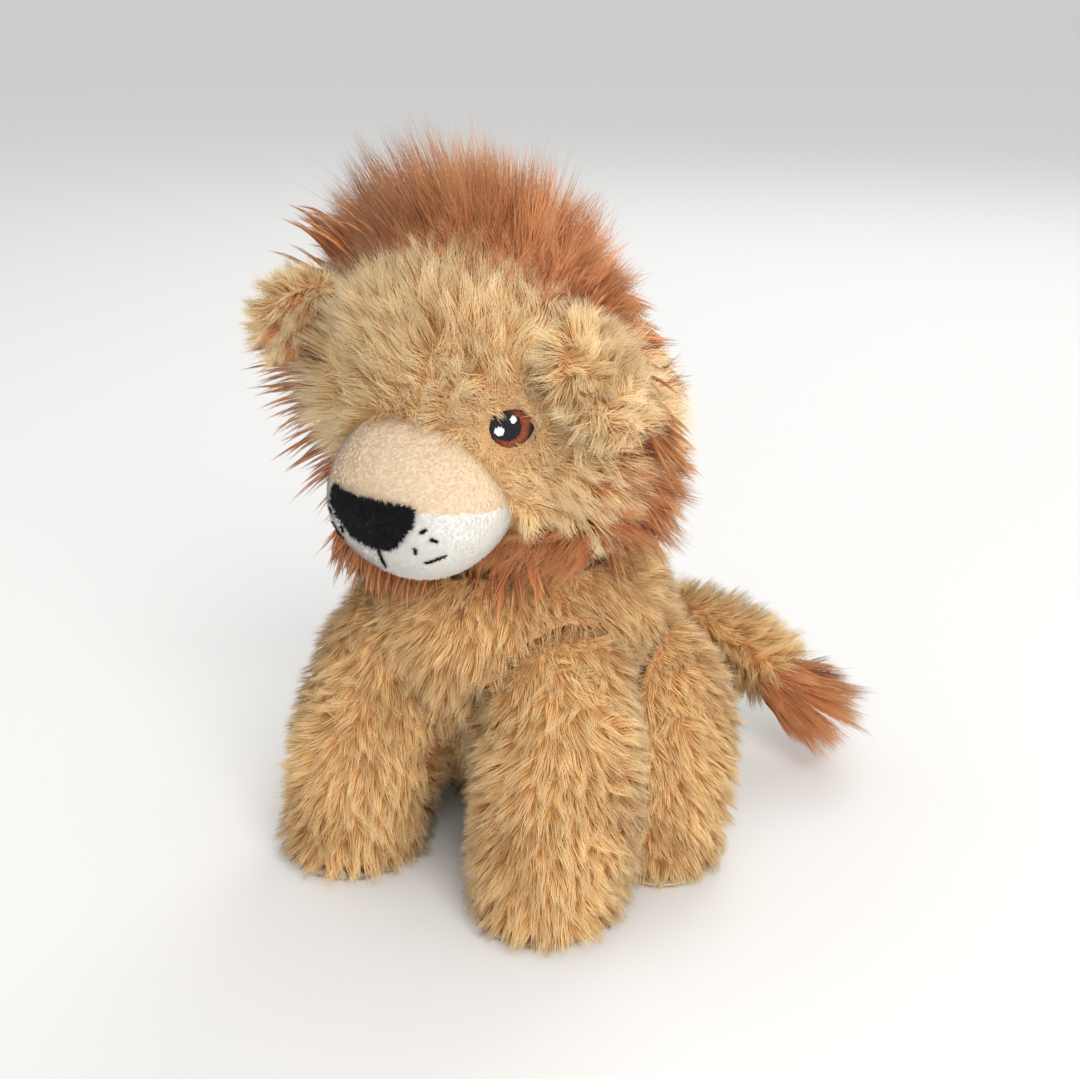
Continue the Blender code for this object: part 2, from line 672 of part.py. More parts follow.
def make_eyes(carrier, face):
    """Each eye: an outline, an iris, a pupil and two glints, each a layer of stitches on the one below."""
    flatness = 1 - (EYE_OUT / SKULL_HALF_WIDTH) ** 2 - (EYE_RISE / SKULL_HALF_HEIGHT) ** 2
    eye_y = EYE_DEPTH - SKULL_HALF_DEPTH * math.sqrt(flatness)
    for side, sign in SIDE_SIGNS:
        frame = (
            HEAD
            @ Matrix.Translation((sign * EYE_OUT, eye_y, EYE_RISE))
            @ Matrix.Rotation(sign * EYE_TURN, 4, "Z")
            @ Matrix.Rotation(EYE_TIP, 4, "X")
            @ Matrix.Rotation(-sign * EYE_TILT, 4, "Y")
        )
        room = ellipse(EYE_HALF_WIDTH + GAP, EYE_HALF_HEIGHT + GAP)
        boolean(face, as_cutter(prism(f"eye_hollow_{side}", room, -EYE_HOLLOW * 3, THREAD + GAP, frame)))
        outline = ellipse(EYE_HALF_WIDTH, EYE_HALF_HEIGHT)
        as_piece(prism(f"eye_outline_{side}", outline, 0, THREAD, frame), "black_thread", carrier)
        layer = -GAP - FINE_THREAD
        iris = ellipse(EYE_HALF_WIDTH * IRIS_SHARE, EYE_HALF_HEIGHT * IRIS_SHARE)
        as_piece(prism(f"eye_iris_{side}", iris, layer, -GAP, frame), "brown_thread", carrier)
        lift = EYE_HALF_HEIGHT * PUPIL_LIFT_SHARE
        pupil = ellipse(EYE_HALF_WIDTH * PUPIL_SHARE, EYE_HALF_HEIGHT * PUPIL_SHARE, (-sign * lift, lift))
        as_piece(prism(f"eye_pupil_{side}", pupil, 2 * layer, layer - GAP, frame), "black_thread", carrier)
        apart = EYE_HALF_WIDTH * GLINT_APART_SHARE
        for number, (x, z) in enumerate(((-apart, 0), (apart, apart / 2)), 1):
            glint = ellipse(GLINT_RADIUS, GLINT_RADIUS, (x - sign * lift, z + lift))[::2]
            name = f"eye_glint_{side}_{number}"
            as_piece(prism(name, glint, 3 * layer, 2 * layer - GAP, frame), "white_thread", carrier)


def make_ears(carrier):
    """Each ear: a furry back and a plush lining, on a seam along the side of the head."""
    for side, sign in SIDE_SIGNS:
        fold = LEFT_EAR_FOLD if sign > 0 else RIGHT_EAR_FOLD
        flatness = 1 - (EAR_FORWARD / SKULL_HALF_DEPTH) ** 2 - (EAR_RISE / SKULL_HALF_HEIGHT) ** 2
        ear_out = SKULL_HALF_WIDTH * math.sqrt(flatness)
        steepness = math.atan2(EAR_RISE / SKULL_HALF_HEIGHT**2, ear_out / SKULL_HALF_WIDTH**2)
        seam = Matrix.Translation((sign * ear_out, -EAR_FORWARD, EAR_RISE))
        seam = seam @ Matrix.Rotation(-sign * steepness, 4, "Y")
        clear = Matrix.Translation((sign * EAR_SEAM_CLEARANCE, 0, 0))
        frame = HEAD @ seam @ clear @ Matrix.Rotation(-sign * fold, 4, "Z")
        joint = pivot(f"ear_pivot_{side}", frame.translation)
        halves = (EAR_LENGTH / 2, EAR_HALF_THICKNESS, EAR_HALF_HEIGHT)
        middle = (sign * (EAR_LENGTH / 2 - EAR_HALF_THICKNESS), 0, 0)
        split = -EAR_HALF_THICKNESS * EAR_LINING_SHARE
        for name, cloth, low, high in (
            (f"ear_cover_{side}", "tan_fur", -REACH, split + GAP / 2),
            (f"ear_lining_{side}", "rust_fur", split - GAP / 2, REACH),
        ):
            flap = as_piece(sphere(name, middle, halves, 14, frame), cloth, joint)
            half = block(f"{name}_split", (-REACH, low, -REACH), (REACH, high, REACH), frame)
            boolean(flap, as_cutter(half))


def locks_middle(sign):
    return (sign * (SKULL_HALF_WIDTH - LOCKS_SINK), LOCKS_Y, LOCKS_RISE)


def make_mane(carrier):
    """The crest over the head, the locks at its sides and the ruff under the chin."""
    skull = as_cutter(skull_form("skull_outside", GAP))
    muzzle = as_cutter(muzzle_form("muzzle_clear", GAP))
    seat = as_cutter(
        sphere("neck_seat_mane", (0, NECK_Y, NECK_Z), (NECK_RADIUS + SWING_GAP,) * 3)
    )
    crest = as_piece(
        sphere(
            "mane_crest",
            (0, CREST_Y, CREST_RISE),
            (CREST_HALF_WIDTH, CREST_HALF_DEPTH, CREST_HALF_HEIGHT),
            frame=HEAD,
            turn=Matrix.Rotation(CREST_LEAN, 4, "X"),
        ),
        "rust_fur",
        carrier,
    )
    boolean(crest, skull)
    boolean(crest, as_cutter(block("crest_foot", (-REACH, -REACH, -REACH), (REACH, REACH, CREST_FOOT), HEAD)))
    for side, sign in SIDE_SIGNS:
        locks = as_piece(
            sphere(
                f"mane_locks_{side}",
                locks_middle(sign),
                (LOCKS_HALF_WIDTH, LOCKS_HALF_DEPTH, LOCKS_HALF_HEIGHT),
                16,
                HEAD,
            ),
            "rust_fur",
            carrier,
        )
        boolean(locks, skull)
        over = block(f"locks_over_{side}", (-REACH, -REACH, LOCKS_TOP), (REACH, REACH, REACH), HEAD)
        under = block(f"locks_under_{side}", (-REACH, -REACH, -REACH), (REACH, REACH, LOCKS_FOOT), HEAD)
        for cutter in (as_cutter(over), as_cutter(under), seat):
            boolean(locks, cutter)
    ruff = as_piece(
        sphere(
            "mane_ruff",
            (0, RUFF_Y, RUFF_RISE),
            (RUFF_HALF_WIDTH, RUFF_HALF_DEPTH, RUFF_HALF_HEIGHT),
            frame=HEAD,
        ),
        "rust_fur",
        carrier,
    )
    for cutter in (skull, muzzle, seat):
        boolean(ruff, cutter)
    floor = NECK_Z + RUFF_FLOOR_RISE
    boolean(ruff, as_cutter(block("ruff_floor", (-REACH, -REACH, -REACH), (REACH, REACH, floor))))
    for side, sign in SIDE_SIGNS:
        halves = (LOCKS_HALF_WIDTH + GAP, LOCKS_HALF_DEPTH + GAP, LOCKS_HALF_HEIGHT + GAP)
        boolean(ruff, as_cutter(sphere(f"locks_room_{side}", locks_middle(sign), halves, 16, HEAD)))


def tail_tube(name, radius):
    """The tail's tube as a mesh."""
    curve = bpy.data.curves.new(name, "CURVE")
    curve.dimensions = "3D"
    curve.bevel_depth = radius
    curve.bevel_resolution = 2
    curve.resolution_u = 4
    curve.use_fill_caps = True
    spline = curve.splines.new("NURBS")
    places = (TAIL_ROOT, *(TAIL_ROOT + step for step in TAIL_ROUTE))
    spline.points.add(len(places) - 1)
    for point, place in zip(spline.points, places):
        point.co = (*place, 1)
    spline.use_endpoint_u = True
    spline.order_u = 4
    drawn = bpy.data.objects.new(name, curve)
    bpy.context.scene.collection.objects.link(drawn)
    bpy.context.view_layer.update()
    graph = bpy.context.evaluated_depsgraph_get()
    mesh = bpy.data.meshes.new_from_object(drawn.evaluated_get(graph))
    shape = bmesh.new()
    shape.from_mesh(mesh)
    bmesh.ops.remove_doubles(shape, verts=shape.verts, dist=GAP / 10)
    bmesh.ops.recalc_face_normals(shape, faces=shape.faces)
    bpy.data.objects.remove(drawn, do_unlink=True)
    return object_of(name, shape)


def make_tail():
    """The ball of the tail's root, the tail's cover and stuffing, and the tuft."""
    root = pivot("tail_swing_pivot", TAIL_ROOT)
    lifted = pivot("tail_lift_pivot", TAIL_ROOT)
    as_piece(sphere("tail_root_stuffing", TAIL_ROOT, (TAIL_BALL_RADIUS,) * 3, 14), "filling", root)
    ball = as_cutter(sphere("tail_ball_seat", TAIL_ROOT, (TAIL_BALL_RADIUS + SWING_GAP,) * 3, 14))
    cover = as_piece(tail_tube("tail_cover", TAIL_RADIUS), "tan_fur", lifted)
    boolean(cover, ball)
    boolean(cover, as_cutter(tail_tube("tail_hollow", TAIL_RADIUS - TAIL_WALL)))
    stuffing = as_piece(tail_tube("tail_stuffing", TAIL_RADIUS - TAIL_WALL - GAP), "filling", lifted)
    boolean(stuffing, ball)

    along = TUFT_END - TAIL_ROUTE[-1]
    turn = along.to_track_quat("Z", "Y").to_matrix().to_4x4()
    frame = Matrix.Translation(TAIL_ROOT + TAIL_ROUTE[-1]) @ turn
    rings = []
    for share, width in TUFT_RING_SHARES:
        half = width * TUFT_HALF_WIDTH
        rings.append((GAP + share * (along.length - GAP), half, half, 0, 0))
    tuft = as_piece(loft("tail_tuft", rings, TUFT_SIDES, frame), "rust_fur", lifted)
    boolean(tuft, as_cutter(tail_tube("tail_end", TAIL_RADIUS + GAP)))


neck_pivot = make_body()
make_legs()
head_pivot = pivot("head_pivot", (0, NECK_Y, NECK_Z))
make_head(head_pivot)
make_ears(head_pivot)
make_mane(head_pivot)
make_tail()
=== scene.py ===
"""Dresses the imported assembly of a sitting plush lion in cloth, long pile and stitching."""

import math

import bmesh
import bpy
import numpy as np
from bpy.props import FloatProperty, FloatVectorProperty, IntProperty, PointerProperty
from bpy.types import Operator, Panel, PropertyGroup
from mathutils import Matrix, Vector
from mathutils.bvhtree import BVHTree
from mathutils.kdtree import KDTree


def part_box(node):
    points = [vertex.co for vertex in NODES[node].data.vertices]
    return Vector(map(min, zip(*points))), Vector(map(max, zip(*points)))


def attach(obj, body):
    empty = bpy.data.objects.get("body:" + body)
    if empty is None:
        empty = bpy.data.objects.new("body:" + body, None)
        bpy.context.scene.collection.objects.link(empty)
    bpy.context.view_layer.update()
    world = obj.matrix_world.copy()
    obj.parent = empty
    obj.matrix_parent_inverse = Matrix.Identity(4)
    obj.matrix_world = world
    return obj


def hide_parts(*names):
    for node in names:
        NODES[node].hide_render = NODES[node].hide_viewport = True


bl_info = {
    "name": "Plush Lion",
    "version": (1, 0, 0),
    "blender": (4, 5, 0),
    "location": "View3D > Sidebar > Plush Lion",
    "description": "Dresses a sitting plush lion in cloth, long pile and stitching",
    "category": "Mesh",
}

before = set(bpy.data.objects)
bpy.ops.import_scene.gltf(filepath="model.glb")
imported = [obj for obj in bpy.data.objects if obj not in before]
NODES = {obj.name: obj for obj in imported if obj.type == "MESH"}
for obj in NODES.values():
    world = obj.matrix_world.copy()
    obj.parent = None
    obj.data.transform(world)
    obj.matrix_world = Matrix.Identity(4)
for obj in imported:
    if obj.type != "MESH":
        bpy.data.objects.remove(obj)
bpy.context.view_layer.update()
SIDES = {"left": 1, "right": -1}

HEAD = (
    Matrix.Translation((0.001, -0.019, 0.1165))
    @ Matrix.Rotation(math.radians(-8), 4, "Z")
    @ Matrix.Rotation(math.radians(18), 4, "X")
)
SHOULDER = {side: Vector((sign * 0.025, -0.028, 0.050)) for side, sign in SIDES.items()}
MUZZLE_ROOT = (0.0, -0.030, -0.010)  # where the muzzle's middle leaves the face, in the head's frame
EYE = {
    side: HEAD
    @ Matrix.Translation((sign * 0.0235, -0.0198, 0.0095))
    @ Matrix.Rotation(sign * math.radians(34), 4, "Z")
    @ Matrix.Rotation(math.radians(-10), 4, "X")
    for side, sign in SIDES.items()
}
# The edge of the left eye, across and up from its middle, in millimetres.
EYE_EDGE = (
    (-5.4, 0.2), (-4.1, 2.3), (-0.3, 4.7), (2.6, 4.8), (4.1, 3.4), (6.2, 2.3), (4.9, 0.6), (4.1, -1.8), (1.4, -4.7),
    (-1.3, -5.0), (-3.3, -5.9), (-3.7, -3.8), (-4.9, -1.5),
)  # fmt: skip

TORSO_NODES = ("body_cover_left", "body_cover_right", "body_stuffing", "seat_panel", "pellet_bag")
HEAD_NODES = ("face_cover", "head_back_cover", "head_stuffing")
MANE_NODES = ("mane_crest", "mane_locks_left", "mane_locks_right", "mane_ruff")
EAR_NODES = {side: (f"ear_cover_{side}", f"ear_lining_{side}") for side in SIDES}
FRONT_NODES = {side: (f"front_leg_cover_{side}", f"front_leg_stuffing_{side}") for side in SIDES}
HIND_NODES = {side: (f"hind_leg_cover_{side}", f"hind_leg_stuffing_{side}") for side in SIDES}

# Lengths are in metres.
HAIRS_IN_PIECE = 45000  # of the short kind, which keeps a piece under 200,000 triangles
TONES = (0.02, 0.98)  # the lowest and the highest tone of a hair
LEANS = (0.02, 1.05)  # the least and the most that a hair leans, as shares of a right angle
ABOVE_FLOOR = 0.0004  # no hair hangs lower than this
SEAM = (0.0012, 0.0070)  # between these distances a cloth comes free of its neighbour
TOUCHING = 0.0001  # a root this near to a neighbour grows no hair
HIDDEN = 0.0010  # nor does a root that faces a neighbour this near
MOST_PUFF = 0.0012  # the furthest that the filling blows a cloth out
DOME_HEIGHT, DOME_RADIUS = 0.0010, 0.0060  # of the dome under the stitches of an eye
FACE_HALF_WIDTH, FACE_HALF_HEIGHT = 0.0445, 0.0365  # of the ring that the locks grow from
MANE_TOUCH = 0.0012  # the mane grows where its node lies this near to the head
MANE_FAR = 0.045  # how far a root looks for the outline of its node
MANE_REACH = (0.0015, 0.034)  # the least and the most of that distance that a hair takes
MANE_PROUD = 0.0065  # how much longer than that distance a hair is
MANE_SINK = 0.004  # how deep in the head a hair starts


# ---------------------------------------------------------------- colours and numbers


def paint(red, green, blue):
    """A colour as a swatch shows it, 0 to 255, turned into the linear numbers that a finish takes."""
    shares = [channel / 255 for channel in (red, green, blue)]
    return tuple(s / 12.92 if s <= 0.04045 else ((s + 0.055) / 1.055) ** 2.4 for s in shares)


def unit(vectors):
    """Rows of vectors, each brought to length one."""
    return vectors / np.maximum(np.linalg.norm(vectors, axis=-1, keepdims=True), 1e-12)


def ease(values, low, high):
    """0 below low, 1 above high and a smooth rise between them."""
    share = np.clip((values - low) / (high - low), 0, 1)
    return share * share * (3 - 2 * share)


def drift(points, size, seed):
    """A smooth wandering vector at each point, which changes over about size metres."""
    rng = np.random.default_rng(seed)
    waves = rng.normal(size=(9, 3)) * (2.2 / size)
    phases = rng.uniform(0, 2 * math.pi, 9)
    shares = rng.normal(size=(9, 3)) / 3
    return np.sin(points @ waves.T + phases) @ shares * 1.4


def from_head(point):
    """A point given in the head's frame, as a row in the lion's frame."""
    return np.array(HEAD @ Vector(point))


def to_head(points):
    """Rows of points in the head's frame."""
    return (points - np.array(HEAD.translation)) @ np.array(HEAD.to_3x3())


def way_from_head(ways):
    """Rows of directions given in the head's frame, in the lion's frame."""
    return ways @ np.array(HEAD.to_3x3()).T


# ---------------------------------------------------------------- cloth shapes


def joined(nodes):
    """One bmesh of these nodes' shapes, with their loose triangles merged."""
    shape = bmesh.new()
    for node in nodes:
        shape.from_mesh(NODES[node].data)
    bmesh.ops.remove_doubles(shape, verts=shape.verts, dist=1e-6)
    return shape


def mesh_of(name, shape):
    """Closes a bmesh into a mesh with smooth faces."""
    for face in shape.faces:
        face.smooth = True
    mesh = bpy.data.meshes.new(name)
    shape.to_mesh(mesh)
    shape.free()
    return mesh


def object_of(name, mesh):
    """A new piece at the origin."""
    piece = bpy.data.objects.new(name, mesh)
    bpy.context.scene.collection.objects.link(piece)
    return piece


def evaluated(piece, name):
    """The mesh of a piece with its modifiers applied; the piece itself is removed."""
    graph = bpy.context.evaluated_depsgraph_get()
    mesh = bpy.data.meshes.new_from_object(piece.evaluated_get(graph))
    bpy.data.objects.remove(piece)
    mesh.name = name
    return mesh


def remeshed(name, shape, voxel):
    """Turns the shape into one even grid of faces, voxel metres apart."""
    draft = object_of(name + "_draft", mesh_of(name, shape))
    remesh = draft.modifiers.new("Even grid", "REMESH")
    remesh.mode = "VOXEL"
    remesh.voxel_size = voxel
    return evaluated(draft, name)


def largest_island(shape):
    """Deletes all but the largest connected part, so that no inner wall stays."""
    unseen = set(shape.verts)
    islands = []
    while unseen:
        island, edge = set(), [unseen.pop()]
        while edge:
            vertex = edge.pop()
            island.add(vertex)
            for link in vertex.link_edges:
                other = link.other_vert(vertex)
                if other in unseen:
                    unseen.discard(other)
                    edge.append(other)
        islands.append(island)
    islands.sort(key=len)
    spare = [vertex for island in islands[:-1] for vertex in island]
    bmesh.ops.delete(shape, geom=spare, context="VERTS")


TREES = {}


def tree_of(nodes):
    """A search tree over these nodes' surfaces, made once."""
    key = tuple(nodes)
    if key not in TREES:
        shape = joined(nodes)
        TREES[key] = BVHTree.FromBMesh(shape)
        shape.free()
    return TREES[key]


def gaps(points, nodes):
    """How far each point lies from the nearest surface of these nodes."""
    tree = tree_of(nodes)
    return np.array([tree.find_nearest(point)[3] for point in points])


def reaches(points, ways, nodes, far, missed=0.0):
    """How far each point sees along its way before it meets the surface of these nodes."""
    tree = tree_of(nodes)
    found = (tree.ray_cast(p, w, far)[3] for p, w in zip(points.tolist(), ways.tolist()))
    return np.array([missed if length is None else length for length in found])


def clear_of(points, ways, nodes, far):
    """Whether each point sees none of these nodes along its way, as far as far."""
    return reaches(points, ways, nodes, far, 1.0) > 0.5


def middle_of(node):
    """The middle of a node's box."""
    low, high = (np.array(corner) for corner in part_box(node))
    return (low + high) / 2


def smoothen(shape, rounds, factor):
    """Evens a bmesh out, a little in each round."""
    for _ in range(rounds):
        bmesh.ops.smooth_vert(
            shape, verts=shape.verts, factor=factor, use_axis_x=True, use_axis_y=True, use_axis_z=True
        )


def cloth_under_pile(name, nodes, neighbours, depth, voxel=0.002, rounds=3, floor=0.008, puff=0.0):
    """The cloth that the pile grows from: the nodes' outline in an even grid, sunk by the depth of the pile.

    Beside a neighbour the cloth keeps its place, so that the two stay as close there as their seams are.
    """
    shape = bmesh.new()
    shape.from_mesh(remeshed(name, joined(nodes), voxel))
    largest_island(shape)
    smoothen(shape, rounds, 0.5)
    shape.normal_update()
    places = np.array([v.co for v in shape.verts])
    sink = np.full(len(places), depth)
    free = ease(gaps(places, neighbours), *SEAM) if neighbours else np.ones(len(places))
    if neighbours:
        sink *= 0.06 + 0.94 * free
    if floor:
        sink *= ease(places[:, 2], 0.0, floor)
        free = free * ease(places[:, 2], 0.001, floor)
    for vertex, much in zip(shape.verts, sink.tolist()):
        vertex.co -= vertex.normal * much
    smoothen(shape, 2, 0.4)
    if shape.calc_volume(signed=True) < 0:
        bmesh.ops.reverse_faces(shape, faces=shape.faces)
    mesh = mesh_of(name, shape)
    return puffed(mesh, puff * free) if puff else mesh


def puffed(mesh, caps):
    """Blows the cloth out by the pressure of its filling; no point moves further than its cap."""
    before = points_of(mesh)
    piece = object_of(mesh.name + "_draft", mesh)
    cloth = piece.modifiers.new("Cloth", "CLOTH")
    skin = cloth.settings
    skin.quality = 5
    skin.mass = 0.00005
    skin.tension_stiffness = skin.compression_stiffness = skin.shear_stiffness = 1.0
    skin.bending_stiffness = 0.05
    skin.use_pressure = True
    skin.uniform_pressure_force = 40
    skin.effector_weights.gravity = 0
    cloth.point_cache.frame_start, cloth.point_cache.frame_end = 1, 20
    scene = bpy.context.scene
    for step in range(1, 21):
        scene.frame_set(step)
    blown = evaluated(piece, mesh.name)
    scene.frame_set(1)
    move = points_of(blown) - before
    far = np.maximum(np.linalg.norm(move, axis=1), 1e-9)
    places = before + move * np.minimum(1, caps / far)[:, None]
    blown.vertices.foreach_set("co", places.astype(np.float32).ravel())
    blown.update()
    return blown


def points_of(mesh):
    """The places of a mesh's vertices, as rows."""
    places = np.empty(len(mesh.vertices) * 3, np.float32)
    mesh.vertices.foreach_get("co", places)
    return places.reshape(-1, 3).astype(float)


# ---------------------------------------------------------------- pile


def scatter(mesh, count, seed):
    """Roots spread evenly over a mesh: their places and the way that the cloth faces there."""
    mesh.calc_loop_triangles()
    corners = np.empty(len(mesh.loop_triangles) * 3, np.int32)
    mesh.loop_triangles.foreach_get("vertices", corners)
    corners = corners.reshape(-1, 3)
    places = points_of(mesh)
    facings = np.empty(len(mesh.vertices) * 3, np.float32)
    mesh.vertex_normals.foreach_get("vector", facings)
    facings = facings.reshape(-1, 3).astype(float)
    spots = places[corners]
    area = np.linalg.norm(np.cross(spots[:, 1] - spots[:, 0], spots[:, 2] - spots[:, 0]), axis=1)
    rng = np.random.default_rng(seed)
    share = np.cumsum(area) / area.sum()
    pick = np.searchsorted(share, (np.arange(count) + rng.random(count)) / count * 0.999999)
    a, b = rng.random((2, count))
    over = a + b > 1
    a, b = np.where(over, 1 - a, a), np.where(over, 1 - b, b)
    weights = np.stack([1 - a - b, a, b], axis=1)[:, :, None]
    return (spots[pick] * weights).sum(1), unit((facings[corners[pick]] * weights).sum(1))


def roots_over(node, count, seed):
    """Roots spread evenly over a node's own shape."""
    mesh = mesh_of(node + "_outline", joined((node,)))
    spread = scatter(mesh, count, seed)
    bpy.data.meshes.remove(mesh)
    return spread


HAIRS = {}


def hair_shape(levels):
    """One hair as a thin cone of three sides, cut across at each level, with its rings and its map."""
    if levels in HAIRS:
        return HAIRS[levels]
    shape = bmesh.new()
    bmesh.ops.create_cone(shape, cap_ends=True, cap_tris=False, segments=3, radius1=1, radius2=0, depth=1)
    bmesh.ops.remove_doubles(shape, verts=shape.verts, dist=1e-5)
    bmesh.ops.translate(shape, verts=shape.verts, vec=(0, 0, 0.5))
    for level in range(1, levels):
        geometry = shape.verts[:] + shape.edges[:] + shape.faces[:]
        bmesh.ops.bisect_plane(shape, geom=geometry, plane_co=(0, 0, level / levels), plane_no=(0, 0, 1))
    bmesh.ops.recalc_face_normals(shape, faces=shape.faces)
    bmesh.ops.triangulate(shape, faces=shape.faces)
    shape.verts.index_update()
    places = np.array([v.co for v in shape.verts])
    rise = np.round(places[:, 2] * levels).astype(int)
    ring = unit(places[:, :2] + 1e-9) * (rise < levels)[:, None]
    faces = np.array([[v.index for v in face.verts] for face in shape.faces])
    around = np.where(rise == levels, 1, np.round(np.arctan2(ring[:, 1], ring[:, 0]) / (2 * math.pi / 3)) % 3)
    cap = (rise[faces] == 0).all(1)
    across = around[faces]
    height = rise[faces] / levels + cap[:, None] * np.array([0, 0, 0.01])
    shape.free()
    HAIRS[levels] = rise, ring, faces, across, height
    return HAIRS[levels]


def nearest_of(places, points):
    """The number of the place that lies nearest to each point."""
    tree = KDTree(len(places))
    for number, place in enumerate(places):
        tree.insert(place, number)
    tree.balance()
    return np.array([tree.find(point)[1] for point in points])


def pile(
    name,
    roots,
    facings,
    flow,
    length,
    width,
    lean=0.5,
    bend=0.3,
    tuft=12,
    gather=0.5,
    wander=0.3,
    ripple=0.0004,
    fall=0.0,
    levels=2,
    tone=0.5,
    taper=0.75,
    streak=0.22,
    round_light=0.5,
    centres=None,
    glow=None,
    seed=1,
):
    """Hairs that stand on the roots, lean along the flow, and gather into tufts towards their tips.

    Lean and bend are shares of a right angle, at the root and more towards the tip. The hairs' map holds a tone
    for each hair across, and the height from root to tip up. Glow is the way that the hairs catch light from, where
    that isn't the way that the cloth faces.
    """
    rng = np.random.default_rng(seed)
    count = len(roots)
    if centres is None:
        centres = roots[rng.choice(count, max(1, count // tuft), replace=False)]
    shared = np.random.default_rng(len(centres))  # the same for every layer that gathers to these centres
    clump = nearest_of(centres, roots)
    leader = nearest_of(roots, centres)[clump]
    sway = shared.normal(size=(len(centres), 3)) * 0.7 * wander
    flow = unit(flow) + drift(roots, 0.011, 7) * wander + sway[clump]
    flow = unit(flow - (flow * facings).sum(1, keepdims=True) * facings)
    length = np.broadcast_to(length, count) * rng.uniform(0.80, 1.1, count)
    length = length * shared.uniform(0.84, 1.14, len(centres))[clump]
    lean = np.broadcast_to(lean, count) + rng.normal(size=count) * 0.06
    lean = lean + (shared.normal(size=len(centres)) * 0.10)[clump]
    path = [roots]
    for level in range(levels):
        angle = np.clip(lean + bend * (level + 0.5) / levels, *LEANS)[:, None] * (math.pi / 2)
        way = facings * np.cos(angle) + flow * np.sin(angle)
        way[:, 2] -= fall * (level + 0.5) / levels
        path.append(path[-1] + unit(way) * (length / levels)[:, None])
    path = np.array(path)
    main = unit(path[-1] - path[0])
    side = unit(np.cross(main, facings) + 1e-9)
    other = np.cross(main, side)
    hold = gather * rng.uniform(0.4, 1.0, count)
    phase = shared.uniform(0, 2 * math.pi, len(centres))[clump]
    for level in range(1, levels + 1):
        rise = level / levels
        path[level] += (path[level][leader] - path[level]) * (hold * rise**0.9)[:, None]
        wave = np.sin(phase + rise * 5)[:, None] * ripple * rise
        path[level] += side * wave + rng.normal(size=(count, 3)) * ripple * 0.35 * rise
    path[..., 2] = np.maximum(path[..., 2], ABOVE_FLOOR)
    if np.ndim(tone) == 0:
        tone = np.full(count, tone)
    shade = tone + (shared.normal(size=len(centres)) * streak)[clump] + rng.normal(size=count) * 0.10
    shade = np.clip(shade + drift(roots, 0.012, seed + 7)[:, 0] * 0.16, *TONES)
    glow = facings if glow is None else unit(glow)
    return hairs_from(name, path, side, other, glow, np.broadcast_to(width, count), shade, taper, round_light)


def locks(name, lines, count, spread, width, seed, tone=0.5, levels=4, streak=0.18):
    """Long pointed locks: each line gives a root, a tip and how far its middle bows, and its hairs meet at the tip."""
    rng = np.random.default_rng(seed)
    roots, tips, bows = (np.array(part) for part in zip(*lines))
    which = np.arange(len(lines) * count) % len(lines)
    run = (tips - roots)[which]
    aside = rng.normal(size=run.shape)
    aside = unit(aside - (aside * unit(run)).sum(1, keepdims=True) * unit(run))
    aside *= (spread * np.sqrt(rng.random(len(which))))[:, None]
    stop = rng.uniform(0.70, 1.0, len(which))
    path = []
    for level in range(levels + 1):
        along = (level / levels * stop)[:, None]
        middle = roots[which] + run * along + bows[which] * 4 * along * (1 - along)
        path.append(middle + aside * (1 - 0.88 * along**1.3))
    path = np.array(path)
    facings = unit(unit(aside) * 0.8 - unit(run) * 0.2 + unit(roots[which] - np.array(HEAD.translation)) * 0.6)
    main = unit(path[-1] - path[0])
    side = unit(np.cross(main, facings) + 1e-9)
    other = np.cross(main, side)
    shade = tone + (rng.normal(size=len(lines)) * streak)[which] + rng.normal(size=len(which)) * 0.12
    shade = np.clip(shade, *TONES)
    return hairs_from(name, path, side, other, facings, np.full(len(which), width), shade, 0.6, 0.5)


def hairs_from(name, path, side, other, facings, width, shade, taper, round_light):
    """The mesh of one hair repeated along each of the paths.

    Its normals lean towards the way that the cloth faces, because light passes through real pile.
    """
    levels, count = len(path) - 1, path.shape[1]
    rise, ring, faces, across, height = hair_shape(levels)
    thick = (1 - rise / levels) ** taper * 0.5
    corners = len(rise)
    places = path[rise].transpose(1, 0, 2).copy()
    spread = ring * thick[:, None]
    places += (side[:, None] * spread[None, :, :1] + other[:, None] * spread[None, :, 1:]) * width[:, None, None]
    mesh = bpy.data.meshes.new(name)
    mesh.vertices.add(count * corners)
    mesh.vertices.foreach_set("co", places.astype(np.float32).ravel())
    loops = (faces[None] + (np.arange(count) * corners)[:, None, None]).astype(np.int32).ravel()
    mesh.loops.add(len(loops))
    mesh.loops.foreach_set("vertex_index", loops)
    mesh.polygons.add(len(loops) // 3)
    mesh.polygons.foreach_set("loop_start", np.arange(0, len(loops), 3, dtype=np.int32))
    mesh.polygons.foreach_set("use_smooth", np.ones(len(loops) // 3, bool))
    mesh.update(calc_edges=True)
    outward = side[:, None] * ring[None, :, :1] + other[:, None] * ring[None, :, 1:]
    mesh.normals_split_custom_set_from_vertices(unit(facings[:, None] + outward * round_light).reshape(-1, 3))
    layer = mesh.uv_layers.new(name="OFBake")
    tones = shade[:, None, None] + across[None] * 0.004
    heights = np.broadcast_to(height[None], tones.shape)
    layer.data.foreach_set("uv", np.stack([tones, heights], axis=-1).astype(np.float32).ravel())
    return object_of(name, mesh)


# ---------------------------------------------------------------- finishes


